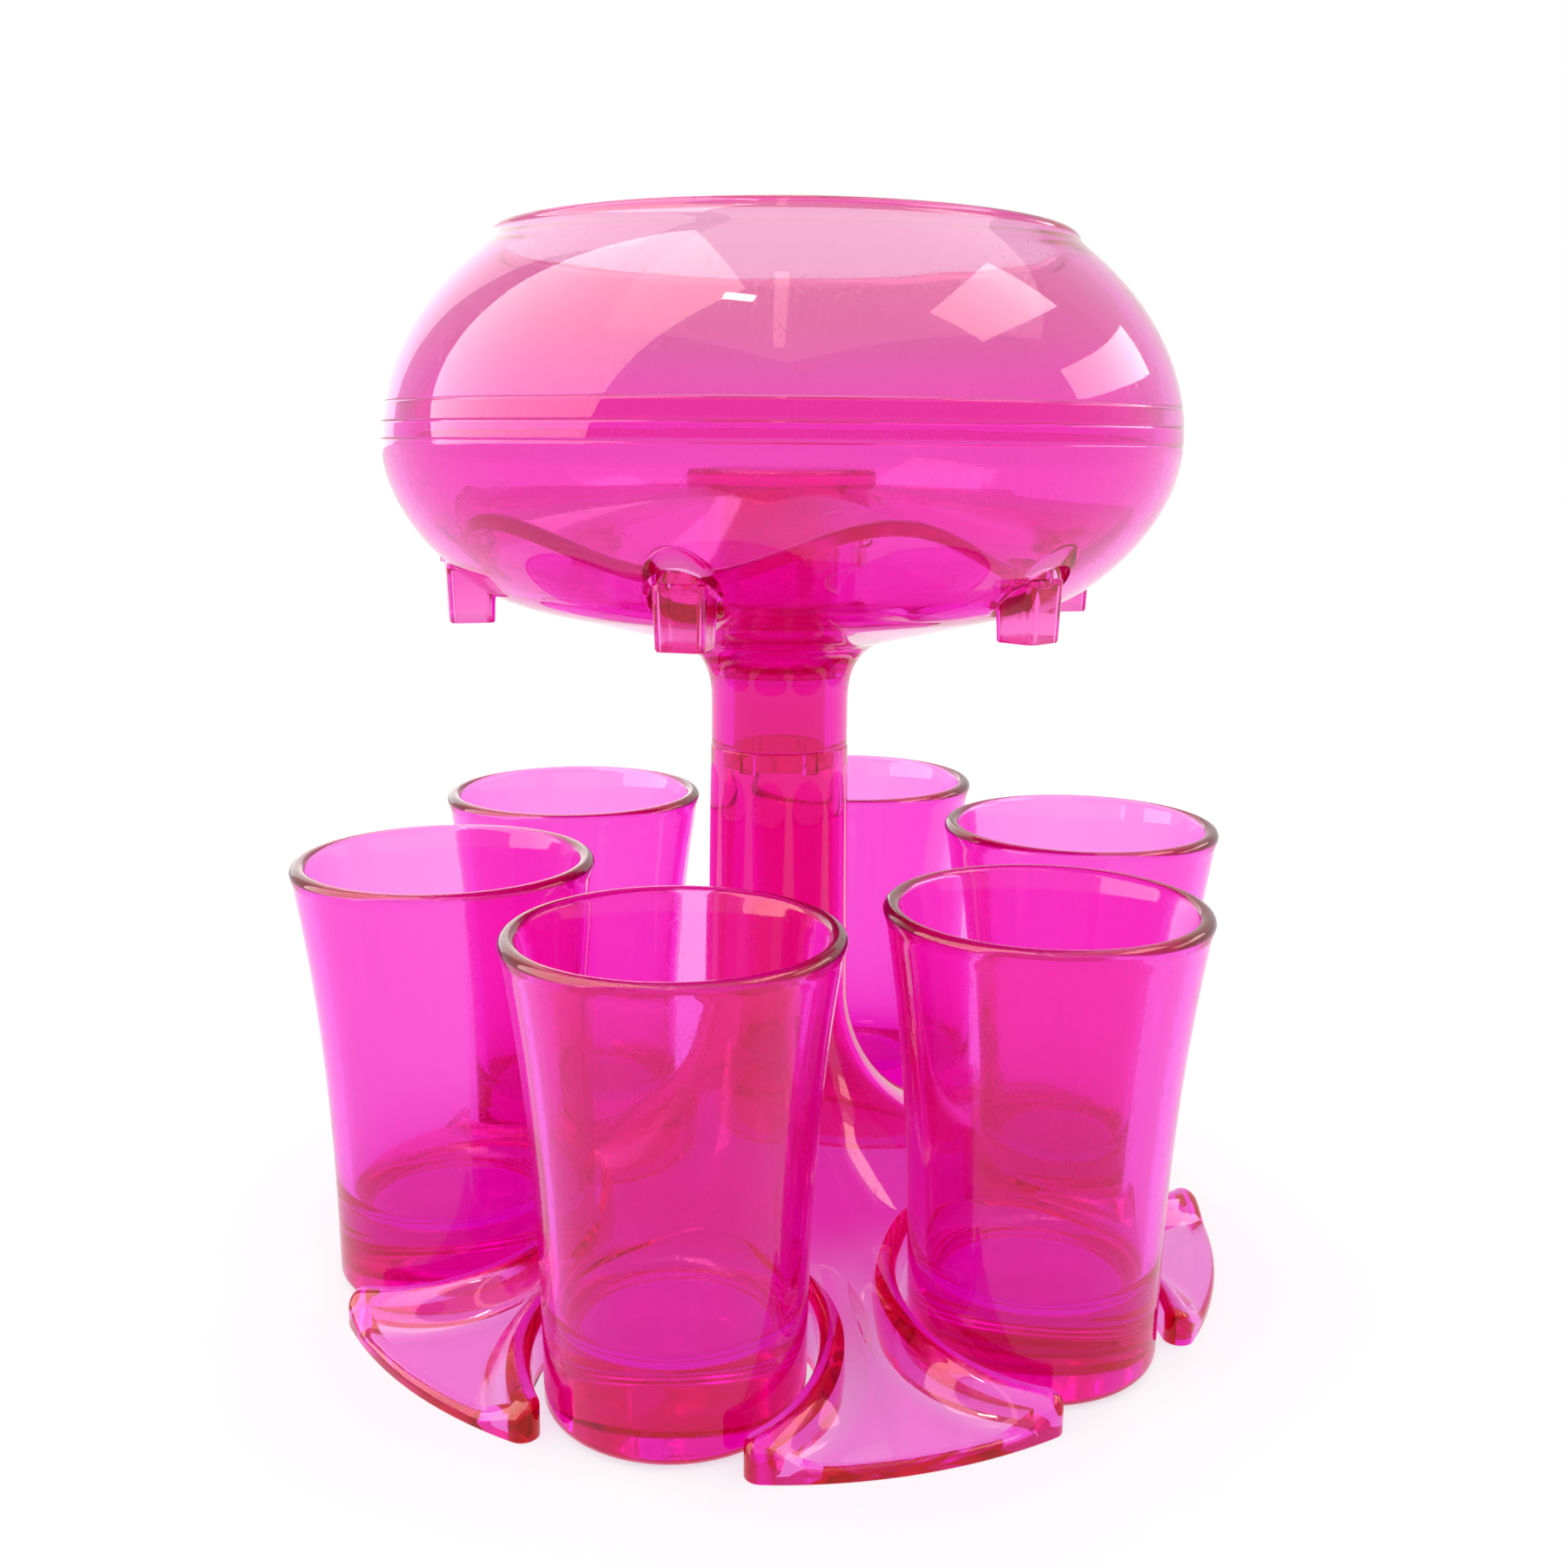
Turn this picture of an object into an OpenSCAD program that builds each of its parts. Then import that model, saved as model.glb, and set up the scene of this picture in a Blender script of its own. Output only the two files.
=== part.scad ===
// Party shot dispenser: a squat open bowl on a hollow column. A drink poured
// on the hub in the bowl parts into six valleys, leaves through six spouts
// and fills the six glasses that stand in the pockets of the foot.
// Millimetres, +Z up, origin on the table under the column's axis.
// Glass 1 stands at -Y, the others follow every 60 degrees.

/* [Glasses] */
// Height of a glass
glass_h = 70; // [60:1:78]
// Outer radius of a glass at its rim
glass_rim_r = 24; // [22:0.5:25]
// Outer radius of a glass at its foot
glass_foot_r = 19; // [17:0.5:19.5]
// How late the wall of a glass flares towards its rim
glass_flare = 2.4; // [1.6:0.1:3.2]
// Wall of a glass
glass_wall = 2.6; // [1.8:0.1:3.2]
// Thickness of the solid foot below the drink
glass_floor = 12.5; // [6:0.5:16]
// Rounding between the floor and the wall inside a glass
glass_floor_round = 5; // [2:0.5:8]
// Rounding of the foot's lower edge
glass_foot_round = 2; // [0.5:0.25:3]

/* [Stand] */
// Radius of the foot's outer edge
stand_r = 75.5; // [73:0.5:80]
// Height of the foot's outer edge
stand_edge_h = 2; // [1.6:0.1:3]
// Rise of the foot per millimetre at its outer edge
stand_edge_slope = 0.036; // [0.02:0.002:0.06]
// Shell thickness of the foot
stand_wall = 2; // [1.6:0.1:2.4]
// Width of the solid band along the foot's outer edge
stand_edge_w = 3; // [2.5:0.1:4]
// Radius of the sweep between column and foot
sweep_r = 27; // [22:0.5:32]
// Rise per millimetre where the sweep passes into the foot
sweep_slope = 0.76; // [0.6:0.02:0.9]
// Height of the column's top end
column_h = 86.5; // [82:0.5:90]
// Outer radius of the column at its top end
column_r = 11.4; // [10.5:0.1:12.5]
// How much wider the column is at its lower end
column_draft = 0.5; // [0.2:0.1:0.8]
// Wall of the column
column_wall = 2.1; // [1.8:0.1:2.4]

/* [Pockets] */
// Distance of the glasses' axes inside the foot's outer edge
glass_inset = 20; // [18:0.5:22]
// Gap between the foot of a glass and its pocket
pocket_gap = 1.8; // [1:0.1:2.2]
// Wall round a pocket
pocket_wall = 3; // [2.4:0.1:3.4]
// Height of a pocket's rim beside its glass
pocket_rim_h = 8.8; // [7:0.2:10]
// Angle by which a pocket's rim drops outwards
pocket_tilt = 12; // [8:0.5:14]
// Width of the rim's flank, which runs down to the foot
pocket_flank_w = 6.5; // [5:0.25:8]
// How much thicker than the rim's crest the round end of a pocket's wall is
pocket_end_extra = 0.9; // [0.4:0.1:1.4]

/* [Bowl] */
// Height of the bowl's rim
bowl_top_h = 167; // [160:1:172]
// Outer radius of the bowl at its belly
bowl_r = 63; // [60:0.5:66]
// Distance of the mouth's outer edge inside the belly's
mouth_inset = 17; // [13:0.5:21]
// Height of the belly, where the bowl is widest
belly_h = 136; // [134:0.5:138]
// Depth of the rounded lower half, measured from the belly
bowl_depth = 36.5; // [35:0.5:38]
// Distance inside the belly at which the rounded half passes into the conical bottom
bottom_inset = 17.6; // [16:0.2:19]
// Rise of the conical bottom per millimetre
bottom_slope = 0.24; // [0.2:0.01:0.28]
// Wall of the bowl
bowl_wall = 2.5; // [2:0.1:2.8]
// Radius of the rounded bead on the rim
rim_bead_r = 1.5; // [1.3:0.1:1.9]
// Height of the seam between the two shells
seam_h = 138; // [137:0.25:139.5]
// Height of the tongue above the seam
tongue_up = 2.7; // [2:0.1:3.4]
// Height of the tongue below the seam
tongue_down = 2.5; // [2:0.1:3.4]
// Thickness of the tongue
tongue_t = 1.2; // [1:0.1:1.6]
// Gap between the tongue and the upper shell
tongue_gap = 0.1; // [0.05:0.01:0.2]

/* [Neck] */
// Radius of the neck above its lower end
neck_r = 11.3; // [10.5:0.1:12]
// Wall of the neck round the plug's stem
neck_wall = 2; // [1.7:0.1:2.3]
// Height of the step in the neck on which the plug's stem stops
neck_step_h = 98.6; // [97:0.2:100]
// Length of the spigot inside the column
spigot_len = 3.5; // [3:0.25:6]
// Wall of the spigot
spigot_wall = 1.6; // [1.3:0.1:1.9]
// Running gap between the spigot and the column
spigot_gap = 0.1; // [0.05:0.01:0.1]
// Width of a key on the spigot
key_w = 2; // [1.5:0.1:2.5]
// How far a key stands out of the spigot
key_out = 0.8; // [0.6:0.1:1]
// Gap round a key in its slot
key_gap = 0.2; // [0.15:0.05:0.3]
// Turn of the keys from the glasses' directions
key_turn = 45; // [30:1:60]
// Outer radius of the seat for the tray at the bottom of the bowl
seat_r = 14; // [13.5:0.1:15]
// Height of that seat
seat_h = 107.5; // [107:0.1:108.5]

/* [Tray and plug] */
// Thickness of the tray
tray_wall = 1.8; // [1.5:0.1:2.2]
// Gap between the tray and the bowl under it
tray_gap = 0.4; // [0.3:0.05:0.6]
// Height of the tray's flat hub
tray_hub_h = 128.5; // [128:0.25:130]
// Radius of the tray's flat hub
tray_hub_r = 14.5; // [14:0.25:15]
// Height of a valley over the spouts' shoulders, at the outlets' middles
valley_over = 1.9; // [1.55:0.05:3]
// Drop of a ridge between two valleys per millimetre
ridge_slope = 0.06; // [0.03:0.01:0.1]
// Radius of the plug's disc
plug_disc_r = 15.3; // [14.5:0.1:17]
// Thickness of the plug's disc
plug_disc_t = 2.5; // [2:0.1:3.5]
// Rounding of the disc's upper edge
plug_disc_round = 1; // [0.5:0.1:1.4]
// Wall of the plug's stem
plug_wall = 1.6; // [1.3:0.1:2]
// Gap round the plug's stem
plug_gap = 0.06; // [0.03:0.01:0.1]

/* [Spouts] */
// Distance of the spouts' axes inside the bowl's belly
spout_inset = 13; // [12:0.25:14]
// Height of a spout's mouth
spout_mouth_h = 107.7; // [106:0.1:109]
// Outer width of a spout
spout_w = 7.7; // [7.4:0.1:8]
// Outer depth of a spout, measured outwards from the column
spout_d = 7.6; // [7.4:0.1:7.8]
// Wall of a spout
spout_wall = 0.9; // [0.7:0.05:1]
// Radius of a spout's upright corners
spout_corner_r = 1.5; // [1.2:0.1:2]
// Height of the shoulder on which a spout meets the tray's outlet
spout_shoulder_h = 117; // [116.5:0.1:117.4]
// Outer radius of the spout's round neck in the tray's outlet
spout_neck_r = 3.4; // [3.2:0.1:3.5]
// Gap between that neck and the outlet
spout_neck_gap = 0.06; // [0.03:0.01:0.1]
// Length of the spout's round neck
spout_neck_len = 1.6; // [1.2:0.1:2]
// Wall round the tray's outlet
outlet_wall = 1.1; // [0.9:0.1:1.2]
// Rise of the outlet's outer lip per millimetre
outlet_rise = 0.5; // [0.2:0.05:0.8]
// Radius of the hole in the lower shell round a spout
spout_hole_r = 5.2; // [5.1:0.05:5.5]

/* [Hidden] */
$fn = 96;

station_count = 6;
station_angle = 360 / station_count;
curve_steps = 8;
overlap = 1;          // length by which a cutting shape passes a face
deep = 30;            // length of a cut that goes right through

// Radii of the two rings of stations, and of the bowl's mouth and bottom
glass_ring_r = stand_r - glass_inset;
spout_ring_r = bowl_r - spout_inset;
mouth_r = bowl_r - mouth_inset;
bottom_r = bowl_r - bottom_inset;
// Drop of a valley per millimetre, on its way from the hub to the outlets
valley_slope = (tray_hub_h - spout_shoulder_h - valley_over) / (spout_ring_r - tray_hub_r);

// ---- shared curves ---------------------------------------------------------

// Points of a quadratic curve from a to c that leaves and arrives towards b
function bend(a, b, c, steps = curve_steps) =
    [for (i = [0 : steps]) let (t = i / steps) (1 - t) * (1 - t) * a + 2 * t * (1 - t) * b + t * t * c];

// Points of an arc round (x, z) from angle a0 to a1
function arc(x, z, r, a0, a1, steps = curve_steps) =
    [for (i = [0 : steps]) let (a = a0 + (a1 - a0) * i / steps) [x + r * cos(a), z + r * sin(a)]];

function reversed(list) = [for (i = [len(list) - 1 : -1 : 0]) list[i]];

function unit(v) = v / norm(v);

// A run of points moved sideways by d, to the left of its direction
function moved(points, d) =
    [for (i = [0 : len(points) - 1])
        let (a = points[max(i - 1, 0)], b = points[min(i + 1, len(points) - 1)], t = unit(b - a))
        points[i] + d * [-t[1], t[0]]];

// Places its children at one of the six stations, with local +X pointing outwards
module at_station(i, r) {
    rotate([0, 0, (i - 1) * station_angle - 90]) translate([r, 0, 0]) children();
}

// ---- glasses ---------------------------------------------------------------

glass_steps = 12;
rim_round = glass_wall / 2;

function glass_r(z) = glass_foot_r + (glass_rim_r - glass_foot_r) * pow(z / glass_h, glass_flare);

// The wall's outer line, from above the rounded foot to below the rounded rim
glass_outer = [for (i = [0 : glass_steps])
    let (z = glass_foot_round + (glass_h - rim_round - glass_foot_round) * i / glass_steps) [glass_r(z), z]];
glass_inner_low = glass_floor + glass_floor_round;
glass_inner = [for (i = [glass_steps : -1 : 0])
    let (z = glass_inner_low + (glass_h - rim_round - glass_inner_low) * i / glass_steps)
    [glass_r(z) - glass_wall, z]];
glass_profile = concat(
    [[0, 0]],
    arc(glass_foot_r - glass_foot_round, glass_foot_round, glass_foot_round, -90, 0, 4),
    glass_outer,
    arc(glass_r(glass_h) - rim_round, glass_h - rim_round, rim_round, 0, 180, 8),
    glass_inner,
    arc(glass_r(glass_inner_low) - glass_wall - glass_floor_round, glass_inner_low, glass_floor_round, 0, -90, 5),
    [[0, glass_floor]]);

module glass(i) {
    color([0.93, 0.10, 0.58, 0.5])
        at_station(i, glass_ring_r)
            rotate_extrude() polygon(glass_profile);
}

// ---- stand -----------------------------------------------------------------

column_foot_r = column_r + column_draft;
sweep_turn = atan(1 / sweep_slope);
foot_start_r = column_foot_r + sweep_r * (1 - cos(sweep_turn));
foot_run = stand_r - foot_start_r;
foot_start_h = stand_edge_h + foot_run * (stand_edge_slope + sweep_slope) / 2;
sweep_top_h = foot_start_h + sweep_r * sin(sweep_turn);
socket_r = column_r - column_wall;
column_root = 2;      // how far the column's tube reaches down into the foot
column_ledge = 0.1;   // how much narrower than the foot's neck the column starts
column_taper = (column_draft - column_ledge) / (column_h - sweep_top_h);
column_low = sweep_top_h - column_root;
pocket_r = glass_foot_r + pocket_gap;
crest_r = pocket_wall / 2;

// The foot's floor is a parabola: its slope grows evenly from the edge to the sweep
function foot_slope(r) =
    stand_edge_slope + (sweep_slope - stand_edge_slope) * (stand_r - r) / foot_run;
function foot_z(r) = stand_edge_h + (stand_r - r) * (stand_edge_slope + foot_slope(r)) / 2;

// Half a cosine wave from 1 at 0 to 0 at 1
function ease(t) = (1 + cos(180 * min(max(t, 0), 1))) / 2;

// Height of the upper surface at x, y, where +X points to the pocket's middle.
// Each pocket's rim is a band in a plane that drops outwards; its flank eases into the floor.
function surface_z(x, y) =
    let (floor_z = foot_z(norm([x, y])),
         from_glass = norm([x - glass_ring_r, y]),
         crest_z = pocket_rim_h - tan(pocket_tilt) * (x - glass_ring_r),
         out = from_glass - pocket_r,
         rounding = out < crest_r ? crest_r - sqrt(pow(crest_r, 2) - pow(crest_r - max(out, 0), 2)) : 0)
    floor_z + max(crest_z - floor_z, 0) * ease((out - crest_r) / pocket_flank_w) - rounding;

// The six petals between the pockets are alike. A petal's grid has rows, from the
// column outwards, and columns, from one pocket to the next. A row is an arc round
// the column. Up to the pocket row, rows go right round and the petals share their sides.
sweep_rows = 4;
foot_rows = 3;
pocket_rows = 8;
end_rows = 4;
half = 5;
columns = 2 * half;
pocket_row = sweep_rows + foot_rows;
end_row = pocket_row + pocket_rows;
last_row = end_row + end_rows;
pocket_near_r = glass_ring_r - pocket_r;

// The pocket's wall ends in a round that touches the pocket and the foot's edge
end_mid_r = stand_r - crest_r - pocket_end_extra;
end_r = crest_r + pocket_end_extra;
end_x = (pow(end_mid_r, 2) - pow(pocket_r + end_r, 2) + pow(glass_ring_r, 2)) / (2 * glass_ring_r);
end_y = sqrt(pow(end_mid_r, 2) - pow(end_x, 2));
end_turn = atan2(end_y, end_x - glass_ring_r);
end_from = end_turn + 180;
end_to = 360 + atan2(end_y, end_x);
// Corner of the hollow, where the walls along the pocket and along the edge meet
hollow_r = stand_r - stand_edge_w;
hollow_x = (pow(hollow_r, 2) - pow(pocket_r + pocket_wall, 2) + pow(glass_ring_r, 2)) / (2 * glass_ring_r);
hollow_turn = atan2(sqrt(pow(hollow_r, 2) - pow(hollow_x, 2)), hollow_x - glass_ring_r);

function on_circle(x, y, r, a) = [x + r * cos(a), y + r * sin(a)];
// Where the upper surface's row i starts, beside a pocket
function side_point(i) =
    i <= end_row
    ? on_circle(glass_ring_r, 0, pocket_r, 180 + (end_turn - 180) * (i - pocket_row) / pocket_rows)
    : on_circle(end_x, end_y, end_r, end_from + (end_to - end_from) * (i - end_row) / end_rows);
// The same for the hollow
function hollow_side_point(i) =
    on_circle(glass_ring_r, 0, pocket_r + pocket_wall, 180 + (hollow_turn - 180) * (i - pocket_row) / pocket_rows);

// Shares of a row's half width at which its columns lie: even, or close beside a pocket
even_shares = [for (j = [0 : half]) j / half];
round_share = 0.3;      // part of the crest's rounding at which the first column lies
mid_share_most = 0.6;   // farthest place of the columns on the flank's middle and foot
foot_share_most = 0.8;
function wall_shares(half_w) =
    [0, round_share * crest_r / half_w, crest_r / half_w,
     min((crest_r + pocket_flank_w / 2) / half_w, mid_share_most),
     min((crest_r + pocket_flank_w) / half_w, foot_share_most), 1];
// Angle of column j in a row that starts at angle a
function column_angle(j, a, shares) =
    let (span = station_angle / 2 - a)
    j <= half ? a + span * shares[j] : station_angle - a - span * shares[columns - j];

// Radii of the foot's rows between the sweep and the pocket
function foot_row_r(i, near) =
    i == pocket_row ? near : i == pocket_row - 1 ? near - crest_r : foot_start_r + (near - crest_r - foot_start_r) / 2;

function upper_point_at(i, j) =
    i <= sweep_rows
    ? let (a = 180 + sweep_turn * i / sweep_rows, b = column_angle(j, 0, even_shares),
           r = column_foot_r + sweep_r + sweep_r * cos(a))
      [r * cos(b), r * sin(b), sweep_top_h + sweep_r * sin(a)]
    : let (side = i < pocket_row ? [foot_row_r(i, pocket_near_r), 0] : side_point(i),
           r = norm(side), a = atan2(side[1], side[0]),
           shares = i < pocket_row ? even_shares : wall_shares((station_angle / 2 - a) * PI / 180 * r),
           b = column_angle(j, a, shares),
           near_b = min(b, station_angle - b))
      [r * cos(b), r * sin(b), surface_z(r * cos(near_b), r * sin(near_b))];

function hollow_point_at(i, j) =
    i <= sweep_rows
    ? let (a = 180 + sweep_turn * i / sweep_rows, b = column_angle(j, 0, even_shares),
           r = column_foot_r + sweep_r + (sweep_r + stand_wall) * cos(a))
      [r * cos(b), r * sin(b), sweep_top_h + (sweep_r + stand_wall) * sin(a)]
    : let (side = i < pocket_row ? [foot_row_r(i, pocket_near_r - pocket_wall), 0] : hollow_side_point(i),
           r = norm(side), a = atan2(side[1], side[0]),
           b = column_angle(j, a, even_shares),
           near_b = min(b, station_angle - b),
           steep = norm([foot_slope(r), 1]))
      [r * cos(b), r * sin(b), surface_z(r * cos(near_b), r * sin(near_b)) - stand_wall * steep];

function on_table(p) = [p[0], p[1], 0];
// A petal's points turned to station s
function turned(p, s) =
    let (a = (s - 1) * station_angle - 90)
    [p[0] * cos(a) - p[1] * sin(a), p[0] * sin(a) + p[1] * cos(a), p[2]];

// Blocks of points, one after another: upper surface, hollow, and both on the table
across = columns + 1;
upper_size = (last_row + 1) * across;
hollow_size = (end_row + 1) * across;
petal_size = 2 * (upper_size + hollow_size);
petal_points = concat(
    [for (i = [0 : last_row], j = [0 : columns]) upper_point_at(i, j)],
    [for (i = [0 : end_row], j = [0 : columns]) hollow_point_at(i, j)],
    [for (i = [0 : last_row], j = [0 : columns]) on_table(upper_point_at(i, j))],
    [for (i = [0 : end_row], j = [0 : columns]) on_table(hollow_point_at(i, j))]);

// Index of a point; rows up to the pocket share their last column with the next petal
function petal_index(s, block, i, j) =
    let (shared = j == columns && i <= pocket_row)
    (shared ? s % station_count : s - 1) * petal_size + block + i * across + (shared ? 0 : j);
function up(s, i, j) = petal_index(s, 0, i, j);
function hol(s, i, j) = petal_index(s, upper_size, i, j);
function up_low(s, i, j) = petal_index(s, upper_size + hollow_size, i, j);
function hol_low(s, i, j) = petal_index(s, 2 * upper_size + hollow_size, i, j);

function quad(a, b, c, d) = [[a, b, c], [a, c, d]];

module foot_shell() {
    stations = [1 : station_count];
    faces = [
        // upper surface and hollow
        for (s = stations, i = [0 : last_row - 1], j = [0 : columns - 1])
            each quad(up(s, i, j), up(s, i, j + 1), up(s, i + 1, j + 1), up(s, i + 1, j)),
        for (s = stations, i = [0 : end_row - 1], j = [0 : columns - 1])
            each quad(hol(s, i, j), hol(s, i + 1, j), hol(s, i + 1, j + 1), hol(s, i, j + 1)),
        // top ring, where the column stands
        for (s = stations, j = [0 : columns - 1])
            each quad(up(s, 0, j), hol(s, 0, j), hol(s, 0, j + 1), up(s, 0, j + 1)),
        // walls along the outer edge, outside and inside, and their foot
        for (s = stations, j = [0 : columns - 1])
            each concat(
                quad(up(s, last_row, j), up(s, last_row, j + 1), up_low(s, last_row, j + 1), up_low(s, last_row, j)),
                quad(hol(s, end_row, j), hol_low(s, end_row, j), hol_low(s, end_row, j + 1), hol(s, end_row, j + 1)),
                quad(up_low(s, last_row, j), up_low(s, last_row, j + 1),
                     hol_low(s, end_row, j + 1), hol_low(s, end_row, j))),
        // walls along the pockets
        for (s = stations, i = [pocket_row : last_row - 1])
            each concat(
                quad(up(s, i, 0), up(s, i + 1, 0), up_low(s, i + 1, 0), up_low(s, i, 0)),
                quad(up(s, i, columns), up_low(s, i, columns), up_low(s, i + 1, columns), up(s, i + 1, columns))),
        for (s = stations, i = [pocket_row : end_row - 1])
            each concat(
                quad(hol(s, i, 0), hol_low(s, i, 0), hol_low(s, i + 1, 0), hol(s, i + 1, 0)),
                quad(hol(s, i, columns), hol(s, i + 1, columns), hol_low(s, i + 1, columns), hol_low(s, i, columns)),
                quad(up_low(s, i, 0), up_low(s, i + 1, 0), hol_low(s, i + 1, 0), hol_low(s, i, 0)),
                quad(up_low(s, i, columns), hol_low(s, i, columns),
                     hol_low(s, i + 1, columns), up_low(s, i + 1, columns))),
        for (s = stations, i = [end_row : last_row - 1])
            each [[up_low(s, i, 0), up_low(s, i + 1, 0), hol_low(s, end_row, 0)],
                  [up_low(s, i, columns), hol_low(s, end_row, columns), up_low(s, i + 1, columns)]]];
    polyhedron([for (s = stations, p = petal_points) turned(p, s)], faces);
}

module key_ring(w, out, z0, z1) {
    for (i = [1 : station_count])
        rotate([0, 0, key_turn])
            at_station(i, 0)
                translate([0, -w / 2, z0]) cube([out, w, z1 - z0]);
}

module base_stand() {
    color([0.93, 0.10, 0.60, 0.5]) {
        foot_shell();
        difference() {
            rotate_extrude() polygon([
                [socket_r, column_low], [column_r + (column_h - column_low) * column_taper, column_low],
                [column_r, column_h], [socket_r, column_h]]);
            key_ring(key_w + 2 * key_gap, spigot_r + key_out + key_gap,
                     column_h - spigot_len - key_gap, column_h + overlap);
        }
    }
}

// ---- bowl ------------------------------------------------------------------

spigot_r = socket_r - spigot_gap;
neck_bottom_h = column_h;
neck_bore_r = neck_r - neck_wall;
spigot_bore_r = spigot_r - spigot_wall;

// Upper half: part of an ellipse that passes through the belly and the rim
bead_mid_r = mouth_r - bowl_wall / 2;
upper_rise = (bowl_top_h - rim_bead_r - belly_h) / sqrt(1 - pow(mouth_r / bowl_r, 2));
upper_end = acos(mouth_r / bowl_r);
seam_turn = asin((seam_h - belly_h) / upper_rise);
function upper_point(a) = [bowl_r * cos(a), belly_h + upper_rise * sin(a)];

// Lower half: part of an ellipse, a blend into the cone, and the neck's fillet
lower_end = acos(bottom_r / bowl_r);
bottom_h = belly_h - bowl_depth * sin(lower_end);
function cone_z(r) = bottom_h - (bottom_r - r) * bottom_slope;
function lower_point(a) = [bowl_r * cos(a), belly_h - bowl_depth * sin(a)];
blend_turn = 5;       // degrees of the ellipse given to the blend
blend_run = 6;        // length of the cone given to the blend
fillet_run = 7;       // how far the neck's fillet reaches along the cone
fillet_drop = 8.5;    // and down the neck

lower_line = concat(
    [[neck_r, neck_bottom_h]],
    bend([neck_r, cone_z(neck_r) - fillet_drop], [neck_r, cone_z(neck_r)],
         [neck_r + fillet_run, cone_z(neck_r + fillet_run)]),
    bend([bottom_r - blend_run, cone_z(bottom_r - blend_run)], [bottom_r, bottom_h],
         lower_point(lower_end - blend_turn), 4),
    [for (i = [1 : curve_steps + 2]) lower_point((lower_end - blend_turn) * (1 - i / (curve_steps + 2)))]);
seam_line = [for (i = [1 : 2]) upper_point(seam_turn * i / 2)];
upper_line = [for (i = [0 : curve_steps + 4]) upper_point(seam_turn + (upper_end - seam_turn) * i / (curve_steps + 4))];

shell_line = concat(lower_line, seam_line);
// Inside of the lower shell, without the neck's own points
shell_inside = [for (p = moved(shell_line, bowl_wall)) if (p[0] > neck_bore_r + bowl_wall) p];
// The seam is cut level, so the last point is brought to its height
shell_inside_top = [bowl_r * cos(seam_turn) - bowl_wall, seam_h];
upper_inside = moved(upper_line, bowl_wall);

function inner_shell_z(r) =
    belly_h - (bowl_depth - bowl_wall) * sqrt(1 - pow(r / (bowl_r - bowl_wall), 2));
function inner_upper_r(z) = bowl_r * cos(asin((z - belly_h) / upper_rise)) - bowl_wall;

tongue_out_r = inner_upper_r(seam_h + tongue_up) - tongue_gap;
tongue_in_r = tongue_out_r - tongue_t;
tongue_root_r = bowl_r - bowl_wall / 2;   // the tongue's root ends in the middle of the wall
seam_clear = 0.5;     // points of the inside nearer than this to the seam give way to its own point

module bowl_lower_shell() {
    color([0.93, 0.12, 0.62, 0.5]) {
        difference() {
            union() {
                rotate_extrude() polygon(concat(
                    shell_line,
                    [shell_inside_top],
                    reversed([for (p = shell_inside) if (p[1] < seam_h - seam_clear && p[0] > seat_r) p]),
                    [[seat_r, seat_h], [neck_bore_r, seat_h], [neck_bore_r, neck_step_h],
                     [spigot_bore_r, neck_step_h], [spigot_bore_r, neck_bottom_h - spigot_len],
                     [spigot_r, neck_bottom_h - spigot_len], [spigot_r, neck_bottom_h]]));
                rotate_extrude() polygon([
                    [tongue_in_r, seam_h - tongue_down], [tongue_root_r, seam_h - tongue_down],
                    [tongue_root_r, seam_h], [tongue_out_r, seam_h],
                    [tongue_out_r, seam_h + tongue_up], [tongue_in_r, seam_h + tongue_up]]);
                intersection() {
                    key_ring(key_w, spigot_r + key_out, neck_bottom_h - spigot_len, neck_bottom_h + overlap);
                    translate([0, 0, neck_bottom_h - spigot_len])
                        difference() {
                            cylinder(r = neck_r, h = spigot_len + overlap);
                            translate([0, 0, -overlap]) cylinder(r = spigot_bore_r, h = spigot_len + 3 * overlap);
                        }
                }
            }
            for (i = [1 : station_count])
                at_station(i, spout_ring_r)
                    translate([0, 0, spout_mouth_h - deep / 2]) cylinder(r = spout_hole_r, h = deep);
        }
    }
}

module bowl_upper_shell() {
    color([0.96, 0.35, 0.72, 0.5])
        union() {
            rotate_extrude() polygon(concat(
                upper_line,
                reversed([for (p = upper_inside) if (p[1] > seam_h + seam_clear) p]),
                [[upper_inside[0][0], seam_h]]));
            rotate_extrude()
                translate([bead_mid_r, bowl_top_h - rim_bead_r]) circle(r = rim_bead_r, $fn = 24);
        }
}

// ---- tray and plug -----------------------------------------------------------

tray_steps = 7;       // rings of the tray from its hub to its edge
tray_spokes = 48;
sleeve_wall = 3;
sleeve_r = neck_bore_r + sleeve_wall;

// Drop per millimetre in a direction, on a cosine wave between valleys and ridges; a = 0 is towards glass 1
function tray_slope(a) = valley_slope + (ridge_slope - valley_slope) * (1 - cos(station_count * a)) / 2;
function tray_z(r, a) = tray_hub_h - max(r - tray_hub_r, 0) * tray_slope(a);
// Radius at which the tray's underside comes within tray_gap of the bowl's inner ellipse:
// where the line base + slope * r crosses it, from the quadratic formula
function tray_edge_r(a) =
    let (depth = bowl_depth - bowl_wall, slope = tray_slope(a),
         base = belly_h - tray_hub_h + tray_wall + tray_gap - slope * tray_hub_r,
         square = pow(slope, 2) + pow(depth / (bowl_r - bowl_wall), 2))
    (sqrt(pow(base * slope, 2) - square * (pow(base, 2) - pow(depth, 2))) - base * slope) / square;
function tray_ring_r(i, a) =
    i == 0 ? neck_bore_r - overlap : tray_hub_r + (tray_edge_r(a) - tray_hub_r) * (i - 1) / tray_steps;
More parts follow.
